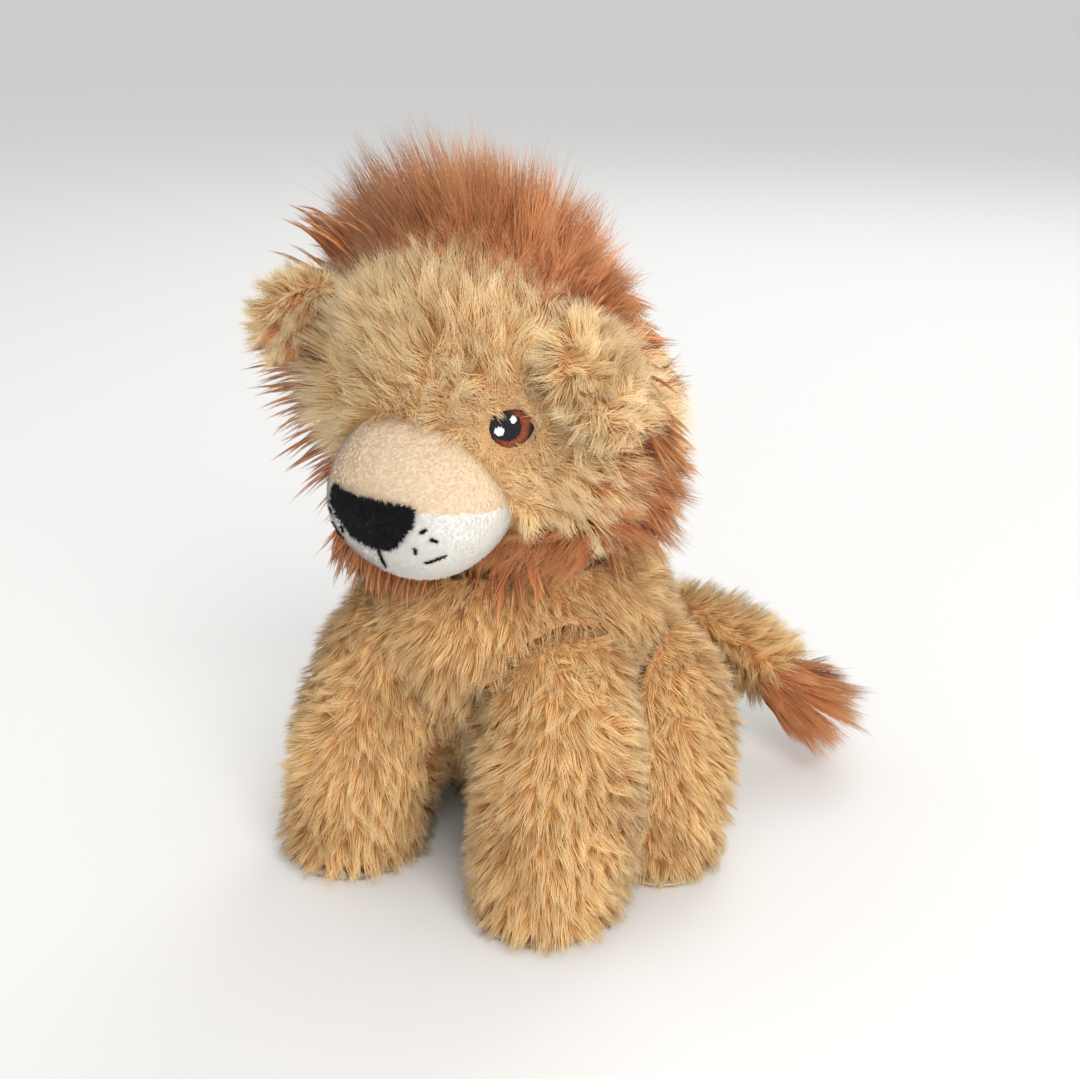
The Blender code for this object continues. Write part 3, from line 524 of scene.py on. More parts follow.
class Signal:
    """A number or colour on its way through a finish; arithmetic on it adds Math nodes."""

    def __init__(self, finish, socket):
        self.finish, self.socket = finish, socket

    def math(self, operation, *values):
        """The result of one Math node."""
        return self.finish.node("ShaderNodeMath", {"operation": operation}, dict(enumerate(values)))

    def __add__(self, other):
        return self.math("ADD", self, other)

    def __radd__(self, other):
        return self.math("ADD", other, self)

    def __mul__(self, other):
        return self.math("MULTIPLY", self, other)

    def __rmul__(self, other):
        return self.math("MULTIPLY", other, self)

    def wave(self):
        """Its sine, from -1 to 1."""
        return self.math("SINE", self)


class Finish:
    """One material, built node by node."""

    def __init__(self, name):
        self.material = bpy.data.materials.new(name)
        self.material.use_nodes = True
        self.tree = self.material.node_tree
        self.tree.nodes.clear()

    def node(self, kind, settings=None, sockets=None, output=0):
        """Adds a node: its settings first, then the values or links of its sockets."""
        node = self.tree.nodes.new(kind)
        for key, value in (settings or {}).items():
            if key == "stops":
                ramp = node.color_ramp.elements
                while len(ramp) < len(value):
                    ramp.new(0.5)
                for element, (place, colour) in zip(ramp, value):
                    element.position = place
                    element.color = (*colour, 1)
            else:
                setattr(node, key, value)
        for key, value in (sockets or {}).items():
            if isinstance(value, Signal):
                self.tree.links.new(node.inputs[key], value.socket)
            else:
                node.inputs[key].default_value = value
        return Signal(self, node.outputs[output])

    def place(self):
        """The place on the piece, in metres."""
        return self.node("ShaderNodeTexCoord", output="Object")

    def noise(self, where, scale, detail=2.0, roughness=0.5):
        """Soft blotches, about 1 / scale metres across."""
        sockets = {"Vector": where, "Scale": scale, "Detail": detail, "Roughness": roughness}
        return self.node("ShaderNodeTexNoise", None, sockets, "Fac")

    def ramp(self, factor, stops):
        """A colour for each value of the factor."""
        return self.node("ShaderNodeValToRGB", {"stops": stops}, {"Fac": factor}, "Color")

    def tinted(self, first, second):
        """Two colours multiplied."""
        settings = {"operation": "MULTIPLY"}
        return self.node("ShaderNodeVectorMath", settings, {0: first, 1: second}, "Vector")

    def bump(self, height, distance, strength=1.0):
        """Relief of the given depth in metres."""
        sockets = {"Height": height, "Distance": distance, "Strength": strength}
        return self.node("ShaderNodeBump", None, sockets, "Normal")

    def surface(self, sockets):
        """The shader that everything ends in."""
        shader = self.node("ShaderNodeBsdfPrincipled", None, sockets, "BSDF")
        end = self.tree.nodes.new("ShaderNodeOutputMaterial")
        self.tree.links.new(end.inputs["Surface"], shader.socket)
        return self.material


FINISHES = {}


def finish_once(make):
    """Keeps the material that a maker of finishes returns for the same name."""

    def kept(name, *values, **settings):
        if name not in FINISHES:
            FINISHES[name] = make(name, *values, **settings)
        return FINISHES[name]

    return kept


@finish_once
def pile_finish(name, root, middle, tip, dark=(0.62, 0.53, 0.43), light=(1.24, 1.22, 1.18), rough=0.75, sheen=0.12):
    """Hair: darker at the root, palest at the tip, each hair in its own tone."""
    finish = Finish(name)
    chart = finish.node("ShaderNodeUVMap", {"uv_map": "OFBake"}, output="UV")
    tone = finish.node("ShaderNodeSeparateXYZ", None, {"Vector": chart}, "X")
    height = Signal(finish, tone.socket.node.outputs["Y"])
    along = finish.ramp(height, [(0.0, root), (0.45, middle), (0.95, tip)])
    each = finish.ramp(tone, [(0.0, dark), (0.5, (1, 1, 1)), (1.0, light)])
    return finish.surface(
        {
            "Base Color": finish.tinted(along, each),
            "Roughness": rough,
            "Specular IOR Level": 0.3,
            "Sheen Weight": sheen,
            "Sheen Roughness": 0.5,
            "Sheen Tint": (1.0, 0.93, 0.85, 1),
        }
    )


@finish_once
def ground_finish(name, colour, dark):
    """The knitted ground that the pile stands on, uneven in tone."""
    finish = Finish(name)
    where = finish.place()
    blotch = finish.noise(where, 300, 3.0)
    fibre = finish.noise(where, 2600, 2.0)
    shade = finish.ramp(blotch * 0.6 + fibre * 0.4, [(0.3, dark), (0.7, colour)])
    normal = finish.bump(fibre, 0.0006)
    return finish.surface({"Base Color": shade, "Roughness": 0.9, "Normal": normal, "Sheen Weight": 0.3})


@finish_once
def velour_finish(name, colour, shade, depth=0.00025):
    """Short brushed velour with soft tracks where the nap lies another way."""
    finish = Finish(name)
    where = finish.place()
    nap = finish.noise(where, 180, 3.0, 0.55)
    fibre = finish.noise(where, 3800, 2.0, 0.6)
    tone = finish.ramp(nap * 0.55 + fibre * 0.45, [(0.32, shade), (0.62, colour)])
    height = fibre * 0.7 + finish.noise(where, 900, 2.0) * 0.5
    return finish.surface(
        {
            "Base Color": tone,
            "Roughness": 0.85,
            "Specular IOR Level": 0.25,
            "Sheen Weight": 0.35,
            "Sheen Roughness": 0.4,
            "Normal": finish.bump(height, depth),
        }
    )


@finish_once
def thread_finish(name, colour, shade):
    """Embroidery thread: fine strands side by side, with a soft lustre."""
    finish = Finish(name)
    where = finish.place()
    turned = finish.node("ShaderNodeMapping", None, {"Vector": where, "Rotation": (0.0, 0.6, 0.4)}, "Vector")
    across = finish.node("ShaderNodeSeparateXYZ", None, {"Vector": turned}, "X")
    strands = (across * 5200 + finish.noise(where, 900) * 5).wave() * 0.5 + 0.5
    tone = finish.ramp(strands, [(0.0, shade), (0.7, colour)])
    return finish.surface(
        {
            "Base Color": tone,
            "Roughness": 0.5,
            "Sheen Weight": 0.1,
            "Normal": finish.bump(strands, 0.00012),
        }
    )


def dress(piece, finish):
    """Gives a piece its finish."""
    piece.data.materials.clear()
    piece.data.materials.append(finish)
    return piece


# ---------------------------------------------------------------- sizes and colours that a user may change


def metres(name, description, default, low=0.0001, high=0.1):
    """A length that a user may change."""
    return FloatProperty(
        name=name, description=description, default=default, min=low, max=high, unit="LENGTH", precision=4
    )


def swatch(name, description, default):
    """A colour that a user may change."""
    return FloatVectorProperty(
        name=name, description=description, default=default, size=3, subtype="COLOR", min=0, max=1
    )


class PlushLionPile(PropertyGroup):
    """Lengths and counts of the tan pile."""

    body: metres("Body", "Length of the hair on the body", 0.0068)
    head: metres("Head", "Length of the hair on the head", 0.0086)
    front_leg: metres("Front legs", "Length of the hair on the front legs", 0.0066)
    hind_leg: metres("Hind legs", "Length of the hair on the haunches", 0.0062)
    tail: metres("Tail", "Length of the hair on the tail", 0.0092)
    ear: metres("Ears", "Length of the hair on the backs of the ears", 0.0082)
    hair: metres("Hair", "Width of one hair at its root", 0.00020, 0.00005, 0.002)
    depth: metres("Depth", "How far the cloth lies under the tips of the pile", 0.0028)
    density: FloatProperty(
        name="Density", description="Hairs on each square millimetre of cloth", default=3.2, min=0.1, max=8.0
    )


class PlushLionMane(PropertyGroup):
    """Sizes of the mane and the tail's tuft."""

    hair: metres("Hair", "Width of one hair of the mane at its root", 0.00026, 0.00005, 0.002)
    crest_count: IntProperty(name="Crest", description="Hairs over the forehead", default=8200, min=100, max=12400)
    locks_count: IntProperty(name="Locks", description="Hairs on each cheek", default=2600, min=100, max=12400)
    ruff_count: IntProperty(name="Ruff", description="Hairs under the chin", default=3800, min=100, max=12400)
    tuft_count: IntProperty(name="Tuft", description="Hairs on the tail's end", default=3600, min=100, max=12400)


class PlushLionColours(PropertyGroup):
    """Colours of cloth, pile and thread."""

    tan_root: swatch("Tan root", "Tan pile at the root", paint(186, 120, 58))
    tan_middle: swatch("Tan middle", "Tan pile halfway up", paint(230, 184, 122))
    tan_tip: swatch("Tan tip", "Tan pile at the tip", paint(244, 214, 164))
    head_root: swatch("Head root", "Pile of the head at the root", paint(206, 150, 90))
    head_middle: swatch("Head middle", "Pile of the head halfway up", paint(234, 194, 138))
    head_tip: swatch("Head tip", "Pile of the head at the tip", paint(248, 224, 180))
    mane_root: swatch("Mane root", "Mane at the root", paint(154, 70, 34))
    mane_middle: swatch("Mane middle", "Mane halfway up", paint(196, 114, 66))
    mane_tip: swatch("Mane tip", "Mane at the tip", paint(228, 164, 110))
    muzzle: swatch("Muzzle", "Velour on top of the muzzle", paint(232, 206, 174))
    muzzle_shade: swatch("Muzzle shade", "The muzzle's velour where the nap turns", paint(220, 192, 158))
    chin: swatch("Chin", "White velour of the chin", paint(232, 228, 220))
    chin_shade: swatch("Chin shade", "The chin's velour where the nap turns", paint(214, 210, 202))
    sole: swatch("Sole", "Velour of the soles", paint(232, 208, 168))
    nose: swatch("Nose", "Nose and black thread", paint(18, 14, 18))
    iris: swatch("Iris", "Brown thread of the eyes", paint(150, 74, 42))


class PlushLionStage(PropertyGroup):
    """Camera and lamps."""

    bearing: FloatProperty(
        name="Bearing", description="Camera's turn to the lion's left", default=math.radians(30), subtype="ANGLE"
    )
    rise: FloatProperty(
        name="Rise", description="Camera's angle above the floor", default=math.radians(21), subtype="ANGLE"
    )
    view: FloatProperty(
        name="View", description="Width of the camera's view", default=math.radians(40), subtype="ANGLE"
    )
    distance: metres("Distance", "From the camera to the lion's middle", 0.365, 0.05, 5)
    floor: swatch("Floor", "Colour of the floor", paint(236, 234, 230))


class PlushLionSettings(PropertyGroup):
    """Everything that a user may change."""

    pile: PointerProperty(type=PlushLionPile)
    mane: PointerProperty(type=PlushLionMane)
    colours: PointerProperty(type=PlushLionColours)
    stage: PointerProperty(type=PlushLionStage)


def tan_pile(colours):
    """The tan hair of the body, the legs and the tail."""
    return pile_finish("tan_pile", *map(tuple, (colours.tan_root, colours.tan_middle, colours.tan_tip)))


def head_pile(colours):
    """The paler tan hair of the face and the ears."""
    shades = map(tuple, (colours.head_root, colours.head_middle, colours.head_tip))
    return pile_finish("head_pile", *shades, dark=(0.70, 0.62, 0.52), light=(1.18, 1.18, 1.16), sheen=0.12)


def mane_pile(colours):
    """The rust hair of the mane, the ears' linings and the tail's tuft."""
    shades = map(tuple, (colours.mane_root, colours.mane_middle, colours.mane_tip))
    return pile_finish("mane_pile", *shades, dark=(0.60, 0.50, 0.42), light=(1.28, 1.28, 1.26), rough=0.5, sheen=0.05)


def tan_ground(colours):
    """The cloth under the tan hair."""
    return ground_finish("tan_ground", tuple(colours.tan_middle), tuple(colours.tan_root))


# ---------------------------------------------------------------- coats


def cover(settings, name, nodes, body, neighbours, fill=0.8, **cloth):
    """The cloth of one stuffed part, which stands for its covers and its filling."""
    mesh = cloth_under_pile(name, nodes, neighbours, cloth.pop("depth", settings.pile.depth), **cloth)
    piece = object_of(name, mesh)
    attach(piece, body)
    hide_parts(*nodes)
    dress(piece, tan_ground(settings.colours))
    return piece


def coat(settings, name, cloth, body, neighbours, flow_at, length, count, seed, finish, slot="tan_fur", **style):
    """Pile over a piece of cloth, except where a neighbour hides it, and shorter beside one."""
    roots, facings = scatter(cloth.data, count, seed)
    away = gaps(roots, neighbours) if neighbours else np.full(len(roots), 1.0)
    keep = style.pop("keep", None)
    shown = away > TOUCHING
    if neighbours:
        shown &= clear_of(roots, facings, neighbours, HIDDEN)
    if keep is not None:
        shown &= keep(roots, facings)
    roots, facings, away = roots[shown], facings[shown], away[shown]
    shorter = style.pop("shorter", None)
    length = length * (0.8 + 0.2 * ease(away, 0.001, 0.005))
    if shorter is not None:
        length = length * shorter(roots)
    style = {key: value(roots, facings) if callable(value) else value for key, value in style.items()}
    style.setdefault("width", settings.pile.hair)
    style["lean"] = np.asarray(style.get("lean", 0.5)) * (0.5 + 0.5 * ease(away, 0.0005, 0.004))
    piece = pile(name, roots, facings, flow_at(roots, facings), length, seed=seed, **style)
    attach(piece, body)
    dress(piece, finish)
    return piece


def fur(settings, name, cloth, body, neighbours, flow_at, length, seed, finish, under=1.0, over=0.3, **style):
    """A dense coat of fine straight hairs, and over it fewer bent ones that gather into the same tufts.

    Under and over are their shares of the pile's density, and clump is the cloth under one tuft in square millimetres.
    """
    style = {"lean": 0.5, "gather": 0.58, "wander": 0.40, **style}
    patches = int(area_of(cloth) * 1e6 / style.pop("clump", 4.6))
    style["centres"] = scatter(cloth.data, patches, seed + 9)[0]
    count = hairs_for(settings, cloth, under)
    for part in range(math.ceil(count / HAIRS_IN_PIECE)):
        share = min(HAIRS_IN_PIECE, count - part * HAIRS_IN_PIECE)
        coat(
            settings, f"{name}_fine_{part + 1}", cloth, body, neighbours, flow_at, length * 0.94, share,
            seed + part * 100, finish, levels=1, bend=0.0, **style,
        )  # fmt: skip
    over_style = {**style, "bend": 0.16, "gather": 0.72}
    coat(
        settings, f"{name}_tufts", cloth, body, neighbours, flow_at, length, hairs_for(settings, cloth, over),
        seed + 50, finish, levels=2, **over_style,
    )  # fmt: skip


def area_of(cloth):
    """The area of a piece of cloth, in square metres."""
    return sum(face.area for face in cloth.data.polygons)


def hairs_for(settings, cloth, share):
    """How many hairs a piece of cloth carries at this share of the pile's density."""
    return int(area_of(cloth) * 1e6 * settings.pile.density * share)


# ---------------------------------------------------------------- operators


class PLUSHLION_OT_torso(Operator):
    """Makes the body's cloth and its pile, and the neck under the mane"""

    bl_idname = "plushlion.torso"
    bl_label = "Body"

    def execute(self, context):
        settings = context.scene.plush_lion
        beside = [n for side in SIDES for n in (FRONT_NODES[side][0], HIND_NODES[side][0])]
        beside += ["neck_stuffing", "tail_root_stuffing"]
        cloth = cover(settings, "torso_cloth", TORSO_NODES, "body", beside, puff=MOST_PUFF)

        def flow(roots, facings):
            return np.stack([roots[:, 0] * 9, np.minimum(roots[:, 1] * 4, 0.15), np.full(len(roots), -1.0)], axis=1)

        def low(roots, facings):
            return roots[:, 2] > 0.0025

        finish = tan_pile(settings.colours)
        fur(
            settings, "torso", cloth, "body", beside, flow, settings.pile.body, 11, finish, under=0.74, over=0.15,
            keep=low, lean=0.52,
        )  # fmt: skip
        neck = cover(settings, "neck_cloth", ("neck_stuffing",), "neck", (), floor=0)
        coat(
            settings, "neck_pile", neck, "neck", (), flow, 0.0065, hairs_for(settings, neck, 0.55), 13, finish,
            lean=0.35, bend=0.0, levels=1, tuft=20, keep=lambda roots, facings: abs(facings[:, 2]) < 0.8,
        )  # fmt: skip
        root = cover(settings, "tail_root_cloth", ("tail_root_stuffing",), "tail_root", (), floor=0)
        coat(
            settings, "tail_root_pile", root, "tail_root", (), lambda roots, facings: roots * 0 + (0.0, 1.0, 0.2),
            0.0088, 3500, 14, finish, lean=0.30, bend=0.0, levels=1, tuft=16,
        )  # fmt: skip
        return {"FINISHED"}


class PLUSHLION_OT_head(Operator):
    """Makes the head's cloth, the tan pile of the face and the rust pile behind it"""

    bl_idname = "plushlion.head"
    bl_label = "Head"

    def execute(self, context):
        settings = context.scene.plush_lion
        colours = settings.colours
        muzzle = ["muzzle_top", "muzzle_chin"]
        eyes = [f"eye_outline_{side}" for side in SIDES]
        beside = [*muzzle, *eyes, "neck_stuffing"]
        cloth = cover(settings, "head_cloth", HEAD_NODES, "head", beside, floor=0, puff=MOST_PUFF)
        middle = np.array(colours.head_middle)
        dress(cloth, ground_finish("head_ground", tuple(middle * 0.85), tuple(colours.head_root)))
        muzzle_root = from_head(MUZZLE_ROOT)

        def flow(roots, facings):
            """The hair lies away from the muzzle, and away from an eye beside it."""
            ways = unit(roots - muzzle_root)
            for side in SIDES:
                beside_eye = 1 - ease(gaps(roots, [f"eye_outline_{side}"]), 0.001, 0.006)
                ways = ways + unit(roots - np.array(EYE[side].translation)) * beside_eye[:, None] * 2.2
            return ways

        def on_face(roots):
            return gaps(roots, ["face_cover"]) < gaps(roots, ["head_back_cover"])

        def face_side(roots, facings):
            bare = clear_of(roots, facings, [*muzzle, *eyes], 0.008)
            bare &= (gaps(roots, eyes) > 0.0012) & (gaps(roots, MANE_NODES) > 0.0006)
            return on_face(roots) & bare

        def back_side(roots, facings):
            return ~on_face(roots)

        def rim(roots):
            """How far a place lies towards the rim of the face, most of all on the lion's right."""
            across = to_head(roots)[:, 0]
            return ease(-across, 0.024, 0.040) + 0.3 * ease(across, 0.030, 0.042)

        def shorter(roots):
            beside_muzzle = ease(gaps(roots, muzzle), 0.001, 0.013)
            left = ease(gaps(roots, ["eye_outline_left"]), 0.0005, 0.008)
            right = ease(gaps(roots, ["eye_outline_right"]), 0.0005, 0.004)
            near_eye = (0.15 + 0.85 * left) * (0.25 + 0.75 * right)
            return (0.62 + 0.38 * beside_muzzle) * near_eye * (1 + 0.85 * rim(roots))

        def painted_cheek_light(roots, facings):
            """Painted light: the hair is paler on the cheeks, which lifts the shade that the ears cast there."""
            places = to_head(roots)
            return 0.56 + 0.30 * ease(abs(places[:, 0]), 0.016, 0.030) * ease(0.020 - places[:, 2], 0.0, 0.012)

        finish = head_pile(colours)
        fur(
            settings, "face", cloth, "head", ("neck_stuffing",), flow, settings.pile.head, 21, finish,
            under=1.12, over=0.37, keep=face_side, shorter=shorter, lean=lambda r, f: 0.33 - 0.12 * rim(r), clump=9,
            gather=0.62, wander=0.6, ripple=0.0018, streak=0.20, tone=painted_cheek_light,
            glow=lambda roots, facings: facings + (0.10, -0.10, 0.35),
        )  # fmt: skip
        close = [*muzzle, *eyes]
        coat(
            settings, "face_short_pile", cloth, "head", ("neck_stuffing",), flow, 0.0024,
            hairs_for(settings, cloth, 0.85), 24, finish, levels=1, lean=0.36, bend=0.0, tuft=8, gather=0.3,
            tone=0.80, streak=0.10, shorter=lambda roots: 0.35 + 0.65 * ease(gaps(roots, eyes), 0.0005, 0.004),
            keep=lambda roots, facings: (gaps(roots, close) < 0.0085) & (gaps(roots, eyes) > 0.0008)
            & on_face(roots) & clear_of(roots, facings, close, 0.008),
        )  # fmt: skip
        coat(
            settings, "head_back_pile", cloth, "head", ("neck_stuffing",), flow, 0.011,
            hairs_for(settings, cloth, 0.35), 23, mane_pile(colours), slot="rust_fur", keep=back_side, width=0.0004,
            lean=0.50, bend=0.25, fall=0.7, tuft=14, gather=0.6,
        )  # fmt: skip
        return {"FINISHED"}


class PLUSHLION_OT_muzzle(Operator):
    """Makes the velour muzzle and chin, the nose, the mouth and the dots"""

    bl_idname = "plushlion.muzzle"
    bl_label = "Muzzle and nose"

    def execute(self, context):
        settings = context.scene.plush_lion
        colours = settings.colours
        muzzle_root = from_head(MUZZLE_ROOT)
        nodes = ("muzzle_top", "muzzle_chin")
        mesh = cloth_under_pile("muzzle_cloth", nodes, (), 0.0004, voxel=0.0009, rounds=3, floor=0)
        cloth = object_of("muzzle_cloth", mesh)
        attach(cloth, "head")
        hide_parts(*nodes)
        top = velour_finish("muzzle_velour", tuple(colours.muzzle), tuple(colours.muzzle_shade), 0.00008)
        chin = velour_finish("chin_velour", tuple(colours.chin), tuple(colours.chin_shade), 0.00008)
        dress(cloth, top)
        mesh.materials.append(chin)

        def above(places):
            return gaps(places, ("muzzle_top",)) < gaps(places, ("muzzle_chin",))

        middles = np.array([face.center for face in mesh.polygons])
        mesh.polygons.foreach_set("material_index", (~above(middles)).astype(np.int32))
        for name, slot, colour, shade, keep in (
            ("muzzle", "cream_velour", colours.muzzle, colours.muzzle_shade, lambda r, f: above(r)),
            ("chin", "white_velour", colours.chin, colours.chin_shade, lambda r, f: ~above(r)),
        ):
            tip = tuple(np.minimum(np.array(colour) * 1.04, 1.0))
            finish = pile_finish(
                name + "_nap", tuple(shade), tuple(colour), tip, dark=(0.92, 0.90, 0.88), light=(1.03, 1.03, 1.03),
                rough=0.9, sheen=0.1,
            )  # fmt: skip
            coat(
                settings, name + "_nap", cloth, "head", (), lambda roots, facings: muzzle_root - roots, 0.0008,
                22000, 31, finish, slot=slot, width=0.00026, lean=0.60, bend=0.0, tuft=2, gather=0.0, levels=1,
                ripple=0.00003, taper=1.0, wander=0.05, streak=0.05, round_light=0.05, keep=keep,
            )  # fmt: skip
        self.nose(settings)
        for name in sorted(NODES):
            if name.startswith(("mouth_stitch", "smile_stitch", "whisker_stitch")):
                self.stitch(settings, name)
        return {"FINISHED"}

    def black(self, colours):
        shade = np.array(colours.nose)
        return pile_finish(
            "black_nap", tuple(shade * 0.5), tuple(shade * 0.8), tuple(shade), rough=0.85, sheen=0.0
        )

    def nose(self, settings):
        """The nose: a patch of black stitches that run up and down, uneven at its edge."""
        colours = settings.colours
        cloth = object_of("nose_cloth", cloth_under_pile("nose_cloth", ("nose",), (), 0.0002, 0.0006, 2, 0))
        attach(cloth, "head")
        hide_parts("nose")
        dress(cloth, velour_finish("nose_velour", tuple(colours.nose), tuple(np.array(colours.nose) * 0.5)))  # fmt: skip
        middle = middle_of("nose")

        def away(roots, facings):
            return (roots - middle) * (0.4, 0.0, 1.0)

        coat(
            settings, "nose_nap", cloth, "head", (), away, 0.0016, 7000, 33, self.black(colours),
            slot="black_thread", width=0.0002, lean=0.72, bend=0.0, tuft=14, gather=0.5, levels=1,
            ripple=0.0001, taper=1.0, wander=0.3, round_light=0.3,
        )  # fmt: skip

    def stitch(self, settings, node):
        """A line or a dot of black thread, sunk into the nap."""
        roots, facings = roots_over(node, 260 if node.startswith("whisker") else 700, 34)
        outward = unit(roots.mean(0) - from_head(MUZZLE_ROOT))
        front = facings @ outward > 0.25
        roots, facings = roots[front], facings[front]
        middle = roots.mean(0)
        run = np.linalg.svd(roots - middle)[2][0]
        thin = (roots - middle) - ((roots - middle) @ run)[:, None] * run
        roots = roots - thin * (0.85 if node.startswith("smile") else 0.5)
        if node.startswith("whisker"):
            roots = middle + thin * 0.5 + (roots - middle - thin * 0.5) * 0.40
        under = [tree_of(("muzzle_top", "muzzle_chin")).find_nearest(root)[:2] for root in roots]
        facings = np.array([normal for place, normal in under])
        roots = np.array([place for place, normal in under]) - facings * 0.0002
        rng = np.random.default_rng(35)
        flow = run * rng.choice([-1, 1], len(roots))[:, None] + rng.normal(size=roots.shape) * 0.25
        piece = pile(
            node + "_thread", roots, facings, flow, 0.0011, 0.00018, lean=0.80, bend=0.0, tuft=3, gather=0.2,
            wander=0.2, ripple=0.00005, levels=1, taper=0.7, seed=36, round_light=0.3,
        )  # fmt: skip
        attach(piece, "head")
        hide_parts(node)
        dress(piece, self.black(settings.colours))


def eye_reach(angles, side):
    """How far the eye's edge lies from its middle in each direction."""
    sign = SIDES[side]
    edge = np.array([(x * sign, z) for x, z in EYE_EDGE]) * 0.001
    around = np.arctan2(edge[:, 1], edge[:, 0])
    order = np.argsort(around)
    return np.interp(angles, around[order], np.hypot(edge[:, 0], edge[:, 1])[order], period=2 * math.pi)


def over_eye(side, x, z, lift):
    """Places over the eye's low dome, as rows in the lion's frame."""
    dome = DOME_HEIGHT * (1 - np.clip((x * x + z * z) / DOME_RADIUS**2, 0, 1.4))
    rows = np.stack([x, -lift - dome, z], axis=-1)
    turn = np.array(EYE[side].to_3x3())
    return rows @ turn.T + np.array(EYE[side].translation)


def eye_patch(name, side, reach, middle, lift, cuts=28):
    """A closed sheet over the eye's dome, whose edge lies as far out as reach says for each direction."""
    shape = bmesh.new()
    bmesh.ops.create_grid(shape, x_segments=cuts, y_segments=cuts, size=1)
    flat = np.array([v.co[:2] for v in shape.verts])
    disc = np.stack([flat[:, 0] * np.sqrt(1 - flat[:, 1] ** 2 / 2), flat[:, 1] * np.sqrt(1 - flat[:, 0] ** 2 / 2)], 1)
    disc *= reach(np.arctan2(disc[:, 1], disc[:, 0]))[:, None]
    for vertex, place in zip(shape.verts, over_eye(side, disc[:, 0] + middle[0], disc[:, 1] + middle[1], lift)):
        vertex.co = place
    shape.normal_update()
    bmesh.ops.solidify(shape, geom=shape.faces[:], thickness=0.0003)
    bmesh.ops.recalc_face_normals(shape, faces=shape.faces)
    piece = object_of(name, mesh_of(name, shape))
    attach(piece, "head")
    return piece


def satin(name, side, starts, ends, lift, width, seed, finish, levels=4):
    """Satin stitches side by side over the eye's dome, each from its start to its end."""
    rng = np.random.default_rng(seed)
    count = len(starts)
    path = []
    for level in range(levels + 1):
        spots = starts + (ends - starts) * (level / levels)
        path.append(over_eye(side, spots[:, 0], spots[:, 1], lift + rng.normal(size=count) * 0.00002))
    path = np.array(path)
    out = np.broadcast_to(-np.array(EYE[side].to_3x3())[:, 1], path[0].shape)
    main = unit(path[-1] - path[0])
    across = unit(np.cross(main, out) + 1e-9)
    shade = np.clip(0.5 + rng.normal(size=count) * 0.28, *TONES)
    other = np.cross(main, across)
    piece = hairs_from(name, path, across, other, out, np.full(count, width), shade, 0.22, 0.7)
    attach(piece, "head")
    dress(piece, finish)
    return piece


class PLUSHLION_OT_eyes(Operator):
    """Makes the embroidered eyes"""

    bl_idname = "plushlion.eyes"
    bl_label = "Eyes"

    def execute(self, context):
        colours = context.scene.plush_lion.colours
        iris, dark = np.array(colours.iris), np.array(colours.nose)
        rim = pile_finish("rim_thread", tuple(dark), tuple(dark * 1.2 + (0.006, 0.0, 0.0)), tuple(iris * 0.10),
                          rough=0.5, sheen=0.0)  # fmt: skip
        brown = pile_finish(
            "iris_thread", tuple(iris * 0.35), tuple(iris), tuple(iris * 0.45), dark=(0.55, 0.50, 0.45),
            light=(1.35, 1.25, 1.15), rough=0.4, sheen=0.0,
        )  # fmt: skip
        black = pile_finish("pupil_thread", tuple(dark), tuple(dark), tuple(dark), dark=(0.5, 0.5, 0.6),
                            light=(2.2, 2.0, 2.4), rough=0.18, sheen=0.0)  # fmt: skip
        snow = paint(244, 244, 250)
        white = pile_finish("glint_thread", snow, snow, snow, dark=(0.82, 0.84, 0.9), rough=0.4, sheen=0.0)
        for number, (side, sign) in enumerate(SIDES.items()):
            rng = np.random.default_rng(90 + number)
            ground = eye_patch(f"eye_ground_{side}", side, lambda a: eye_reach(a, side), (0, 0), -0.0002)
            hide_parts(f"eye_outline_{side}")
            dress(ground, thread_finish("eye_ground", tuple(dark), tuple(dark * 0.5)))
            self.rays(side, rng, 0.80, 1.03, 240, 0.0, 0.00026, rim, "black_thread", f"eye_rim_{side}")
            piece = self.rays(side, rng, 0.30, 0.88, 250, 0.00022, 0.00022, brown, "brown_thread", f"iris_{side}")
            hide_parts(f"eye_iris_{side}")
            middle = np.array((-1.1 * sign, 1.1)) * 0.001
            across = np.linspace(-0.0031, 0.0031, 40)
            tall = 0.0034 * np.sqrt(1 - (across / 0.0033) ** 2)
            piece = self.bars(side, rng, middle, across, tall, 0.00042, black, "black_thread", f"pupil_{side}")
            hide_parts(f"eye_pupil_{side}")
            for place, (x, z, wide, high) in enumerate(((-1.5, -0.9, 1.0, 1.1), (1.9, 1.3, 0.6, 0.95)), 1):
                spot = middle + np.array((x, z)) * 0.001
                across = np.linspace(-wide, wide, round(wide * 12)) * 0.001
                tall = high * 0.001 * np.sqrt(1 - (across / (wide * 0.00108)) ** 2)
                name = f"eye_light_{side}_{place}"
                piece = self.bars(side, rng, spot, across, tall, 0.00062, white, "white_thread", name)
                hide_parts(f"eye_glint_{side}_{place}")
        return {"FINISHED"}

    def rays(self, side, rng, low, high, count, lift, width, finish, slot, name):
        """Stitches that run out from the middle, between two shares of the way to the eye's edge."""
        angles = (np.arange(count) + rng.random(count) * 0.7) / count * 2 * math.pi
        way = np.stack([np.cos(angles), np.sin(angles)], axis=1) * eye_reach(angles, side)[:, None]
        starts = way * (low + rng.normal(size=count) * 0.02)[:, None]
        ends = way * (high + rng.normal(size=count) * 0.03)[:, None]
        return satin(name, side, starts, ends, lift, width, 95, finish)

    def bars(self, side, rng, middle, across, tall, lift, finish, slot, name):
        """Upright stitches side by side, within a rounded outline."""
        slack = rng.normal(size=(2, len(across))) * 0.00012
        starts = middle + np.stack([across, -tall + slack[0]], axis=1)
        ends = middle + np.stack([across + 0.0001, tall + slack[1]], axis=1)
        return satin(name, side, starts, ends, lift, 0.00032, 96, finish)


